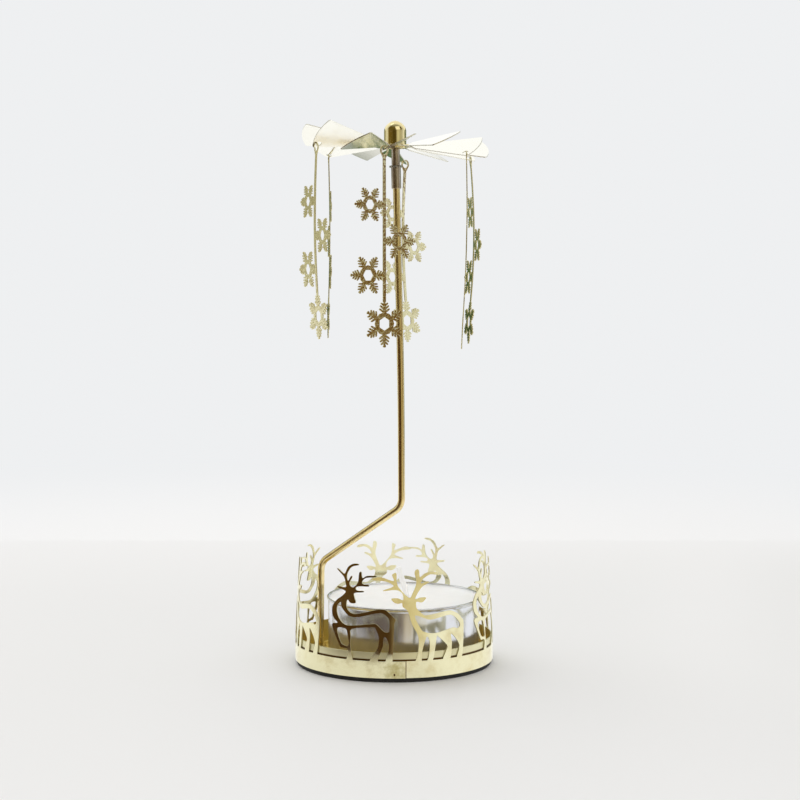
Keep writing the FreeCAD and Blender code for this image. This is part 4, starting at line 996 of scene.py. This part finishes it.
# The cap: a thimble of turned brass, slightly pointed on top. Its foot goes through the
# fan as an eyelet and is rolled over below; the bearing cup is pressed up inside it.
HUB_LOW, HUB_TOP, CAP_RADIUS, CAP_WALL = 126.225, 126.475, 2.7, 0.4
DOME_LOW, DOME_HEIGHT = 129.925, 2.66
EYELET_RADIUS, LIP_REACH, LIP_BORE, LIP_HEIGHT = 2.25, 2.8, 1.85, 0.3
COLLAR_RADIUS, COLLAR_TOP, DOME_POINT = 2.95, HUB_TOP + 0.3, 0.16

cap_brass = metal("turned_brass", (0.88, 0.77, 0.43, 1), (0.60, 0.45, 0.15, 1),
                  0.12, 0.25, 0.5, 0.2)
rise = np.linspace(0, 1, 22)
round_top = np.sqrt(np.clip(1 - rise ** 2, 0, 1)) * (1 - DOME_POINT * rise ** 3)
dome = np.stack([CAP_RADIUS * round_top, DOME_LOW + DOME_HEIGHT * rise], 1)
dome[-1, 0] = 0
foot = rounded([(EYELET_RADIUS - CAP_WALL, HUB_LOW), (LIP_BORE, HUB_LOW - LIP_HEIGHT),
                (LIP_REACH, HUB_LOW - LIP_HEIGHT), (LIP_REACH, HUB_LOW),
                (EYELET_RADIUS, HUB_LOW), (EYELET_RADIUS, HUB_TOP), (COLLAR_RADIUS, HUB_TOP),
                (COLLAR_RADIUS, COLLAR_TOP), (CAP_RADIUS, COLLAR_TOP),
                (CAP_RADIUS, DOME_LOW)], [0.14, 0.14, 0.13, 0.05, 0.05, 0.12, 0.12, 0.06], 5)
bore = rounded([(CAP_RADIUS - CAP_WALL, DOME_LOW), (CAP_RADIUS - CAP_WALL, COLLAR_TOP),
                (EYELET_RADIUS - CAP_WALL, HUB_TOP), (LIP_BORE, HUB_LOW + 0.01)], 0.1, 3)
shell, shell_faces = turned(np.concatenate([
    [(0, DOME_LOW)], bore, foot[:-1], dome]), 96)
cap = make_piece("domed_cap", standing(shell, (ROTOR_X, 0), 0), shell_faces, cap_brass)
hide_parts("rotor_cap")
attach(cap, "rotor")
recoat("bearing_cup", cap_brass)

# The fan: one disc of etched gold-plated sheet with twelve petals, each twisted by hand
# at its narrow neck, so no two stand quite alike. Every second one has a hole for a hanger.
FAN_HEIGHT, FAN_SHEET, HUB_RADIUS = 126.35, 0.25, 4.2
CORNER_REACH, TIP_REACH, NECK_WIDTH, TIP_WIDTH = 22.0, 22.9, 1.05, 8.9
CORNER_CUT, HOLE_RADIUS, HOLE_INSET = 0.35, 0.72, 1.15
FIRST_PETAL, PETAL_STEP = 2.5, 30
PETAL_PITCH = np.array([26, 24, 33, 29, 36, 28, 25, 23, 22, 31, 42, 24])
PETAL_LIFT = np.array([-2, 1, -2.5, -1.6, -0.5, -0.8, -2.2, 0, 0.5, 7.5, 5, -1])
PETAL_TURN = np.array([0, 1, -3, 3.5, 3, 0, 0, -3, -3, -4, 4.5, 3])
TWIST_RUN = (4.0, 6.2)


def fan_place(x, y, depth):
    """The flat fan bent up: each petal twisted, lifted and turned past the hub's edge.

    A petal's point (along, across, depth) is turned about its length by the pitch, then
    raised by the lift, then swung about Z by the petal's direction, each times the ease.
    """
    petal = np.round((np.degrees(np.arctan2(y, x)) + 90 - FIRST_PETAL) / PETAL_STEP)
    way = np.radians(FIRST_PETAL + petal * PETAL_STEP - 90)
    petal = petal.astype(int) % len(PETAL_PITCH)
    along = x * np.cos(way) + y * np.sin(way)
    across = y * np.cos(way) - x * np.sin(way)
    ease = smooth_step(along, *TWIST_RUN)
    pitch = np.radians(PETAL_PITCH[petal]) * ease
    lift = np.radians(PETAL_LIFT[petal]) * ease
    way = way + np.radians(PETAL_TURN[petal]) * ease
    side = across * np.cos(pitch) - depth * np.sin(pitch)
    up = across * np.sin(pitch) + depth * np.cos(pitch)
    out = along * np.cos(lift) - up * np.sin(lift)
    up = along * np.sin(lift) + up * np.cos(lift)
    return (ROTOR_X + out * np.cos(way) - side * np.sin(way),
            out * np.sin(way) + side * np.cos(way), FAN_HEIGHT + up)


def petal_outline():
    """One petal along X: a neck, straight flaring sides, cut corners and a curved end.

    The end stands out by 1 less the square of the share of the way across.
    """
    half_neck, half_tip = NECK_WIDTH / 2, TIP_WIDTH / 2
    slope = (half_tip - half_neck) / (CORNER_REACH - HUB_RADIUS)
    out = np.linspace(HUB_RADIUS, CORNER_REACH - CORNER_CUT, 24)
    side = np.stack([out, half_neck + (out - HUB_RADIUS) * slope], 1)
    side = np.concatenate([[(HUB_RADIUS - NECK_WIDTH, half_neck)], side])
    across = np.linspace(half_tip - CORNER_CUT, CORNER_CUT - half_tip, 15)
    bulge = 1 - (across / across[0]) ** 2
    tip = np.stack([CORNER_REACH + (TIP_REACH - CORNER_REACH) * bulge, across], 1)
    return np.concatenate([side * [1, -1], tip[::-1], side[::-1]]), slope


def swung(loop, degrees):
    """A flat loop turned counter-clockwise about the origin."""
    turn = math.radians(degrees)
    return np.stack([loop[:, 0] * math.cos(turn) - loop[:, 1] * math.sin(turn),
                     loop[:, 0] * math.sin(turn) + loop[:, 1] * math.cos(turn)], 1)


petal_loop, slope = petal_outline()
hole_out = CORNER_REACH - HOLE_INSET
hole_side = TIP_WIDTH / 2 - HOLE_INSET * slope - HOLE_INSET / math.cos(math.atan(slope))
hanger_hole = circle(HOLE_RADIUS, 28, (hole_out, -hole_side))
ways = [FIRST_PETAL + petal * PETAL_STEP - 90 for petal in range(len(PETAL_PITCH))]
shapes = [circle(HUB_RADIUS, 96)] + [swung(petal_loop, way) for way in ways]
holes = [circle(EYELET_RADIUS, 64)] + [swung(hanger_hole, way) for way in ways[::2]]
fan_gold = metal("fan_gold_plate", (0.96, 0.95, 0.87, 1), (0.93, 0.90, 0.78, 1),
                 0.12, 0.15, 0.2, 0.08)
points, faces, corners = cut_sheet(shapes, holes, 0.9, fan_place, FAN_SHEET)
fan = make_piece("twisted_fan", points, faces, fan_gold, corners)
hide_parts("rotor_fan")
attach(fan, "rotor")

# The six hangers: narrow strips of the same etched sheet, each with an eye at its top
# that hooks through a petal, three snowflakes at its sides and a larger one at its foot.
HANGER_SHEET, STRIP_WIDTH = 0.25, 0.8
EYE_MIDDLE, EYE_RADIUS, EYE_WIRE, EYE_NECK = -0.325, 0.85, 0.38, 1.75
FLAKES = ((12.5, 4.3, -1), (20.8, 4.5, 1), (28.7, 4.8, -1), (39.9, 5.5, 0))
HEXAGON_HOLE_SHARE = 0.29
ARM_SHARES = [
    (0.420, 0.242), (0.462, 0.085), (0.512, 0.150), (0.570, 0.232), (0.612, 0.262),
    (0.652, 0.232), (0.600, 0.120), (0.560, 0.060), (0.590, 0.060), (0.640, 0.122),
    (0.702, 0.202), (0.745, 0.228), (0.782, 0.196), (0.738, 0.110), (0.700, 0.056),
    (0.730, 0.056), (0.775, 0.105), (0.820, 0.160), (0.862, 0.184), (0.896, 0.150),
    (0.862, 0.090), (0.832, 0.052), (0.905, 0.048), (0.945, 0.074), (0.990, 0.052),
]
ARM_TIP, ARM_TOUCH = [(1.0, 0.0)], 0.94
# Each hanger's direction, and how far it bows, leans and twists out of its plane.
HANGERS = ((42, 0.0, 0.0, -8), (88, 0.3, -0.8, 0), (-84, -1.0, 0.3, 4),
           (40, -0.9, 0.7, 8), (95.5, 0.3, -0.2, 0), (-67, 0.6, -0.4, 5))
TWIST_SOON = 4


def snowflake(middle, radius, first_arm):
    """Six arms with three pairs of round-ended barbs, and the hexagonal hole.

    An arm is its one side mirrored about its line, and is turned by steps of 60 degrees.
    """
    side = np.array(ARM_SHARES)
    arm = np.concatenate([side * [1, -1], ARM_TIP, side[::-1]])
    arm = np.concatenate([swung(arm, first_arm + 60 * place) for place in range(6)])
    hole = swung(circle(HEXAGON_HOLE_SHARE, 6), first_arm)
    hole = np.concatenate([np.linspace(start, end, 4)[:-1]
                           for start, end in zip(hole, np.roll(hole, -1, 0))])
    return flowing(arm, 2) * radius + middle, hole * radius + middle


def eye_outline(radius, low, half):
    """A teardrop: an arc over the eye and two straight sides down to a narrow foot."""
    turn = np.radians(np.linspace(-45, 225, 28))
    arc = np.stack([np.cos(turn), np.sin(turn)], 1) * radius + [0, EYE_MIDDLE]
    return np.concatenate([arc, [(-half, low), (half, low)]])


half_strip = STRIP_WIDTH / 2
neck = EYE_MIDDLE - EYE_NECK
foot = EYE_MIDDLE - FLAKES[-1][0] + FLAKES[-1][1] - half_strip
side_run = np.linspace(foot, neck + half_strip, 40)
strip_loop = np.concatenate([np.stack([np.full(40, half_strip), side_run], 1),
                             np.stack([np.full(40, -half_strip), side_run[::-1]], 1)])
shapes = [strip_loop, eye_outline(EYE_RADIUS + EYE_WIRE, neck, half_strip)]
holes = [eye_outline(EYE_RADIUS, neck + 2 * half_strip, EYE_WIRE / 8)]
for drop, radius, side in FLAKES:
    star, hexagon = snowflake((side * radius * ARM_TOUCH, EYE_MIDDLE - drop), radius,
                              0 if side else 90)
    shapes.append(star)
    holes.append(hexagon)
flake_gold = metal("flake_gold_plate", (0.84, 0.79, 0.52, 1), (0.70, 0.58, 0.28, 1),
                   0.14, 0.3, 0.2, 0.5, ripples=8.0)
hanger_joints = {joint["child"]: joint for joint in frame["joints"]}
for place, (turn, bow, lean, twist) in enumerate(HANGERS, 1):
    body = f"hanger_{place}"
    hook = np.array(hanger_joints[body]["pos_m"]) / MM

    def hanger_place(x, y, depth):
        """The strip hung up: a bow and a lean push it out of its plane as it drops.

        The bow goes by sin(pi d) and the lean by d squared, where d is the share of the
        drop. The twist goes by 1 - exp(-TWIST_SOON d), so it's there soon below the eye.
        """
        drop = np.clip(-y / FLAKES[-1][0], 0, None)
        angle = np.radians(turn + twist * (1 - np.exp(-TWIST_SOON * drop)))
        out = depth + bow * np.sin(np.pi * np.clip(drop, 0, 1)) + lean * drop ** 2
        return (hook[0] + x * np.cos(angle) + out * np.sin(angle),
                hook[1] + x * np.sin(angle) - out * np.cos(angle), hook[2] + y)

    points, faces, corners = cut_sheet(shapes, holes, 0.8, hanger_place, HANGER_SHEET)
    hanger = make_piece(f"snowflake_strip_{place}", points, faces, flake_gold, corners)
    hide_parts(body)
    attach(hanger, body)
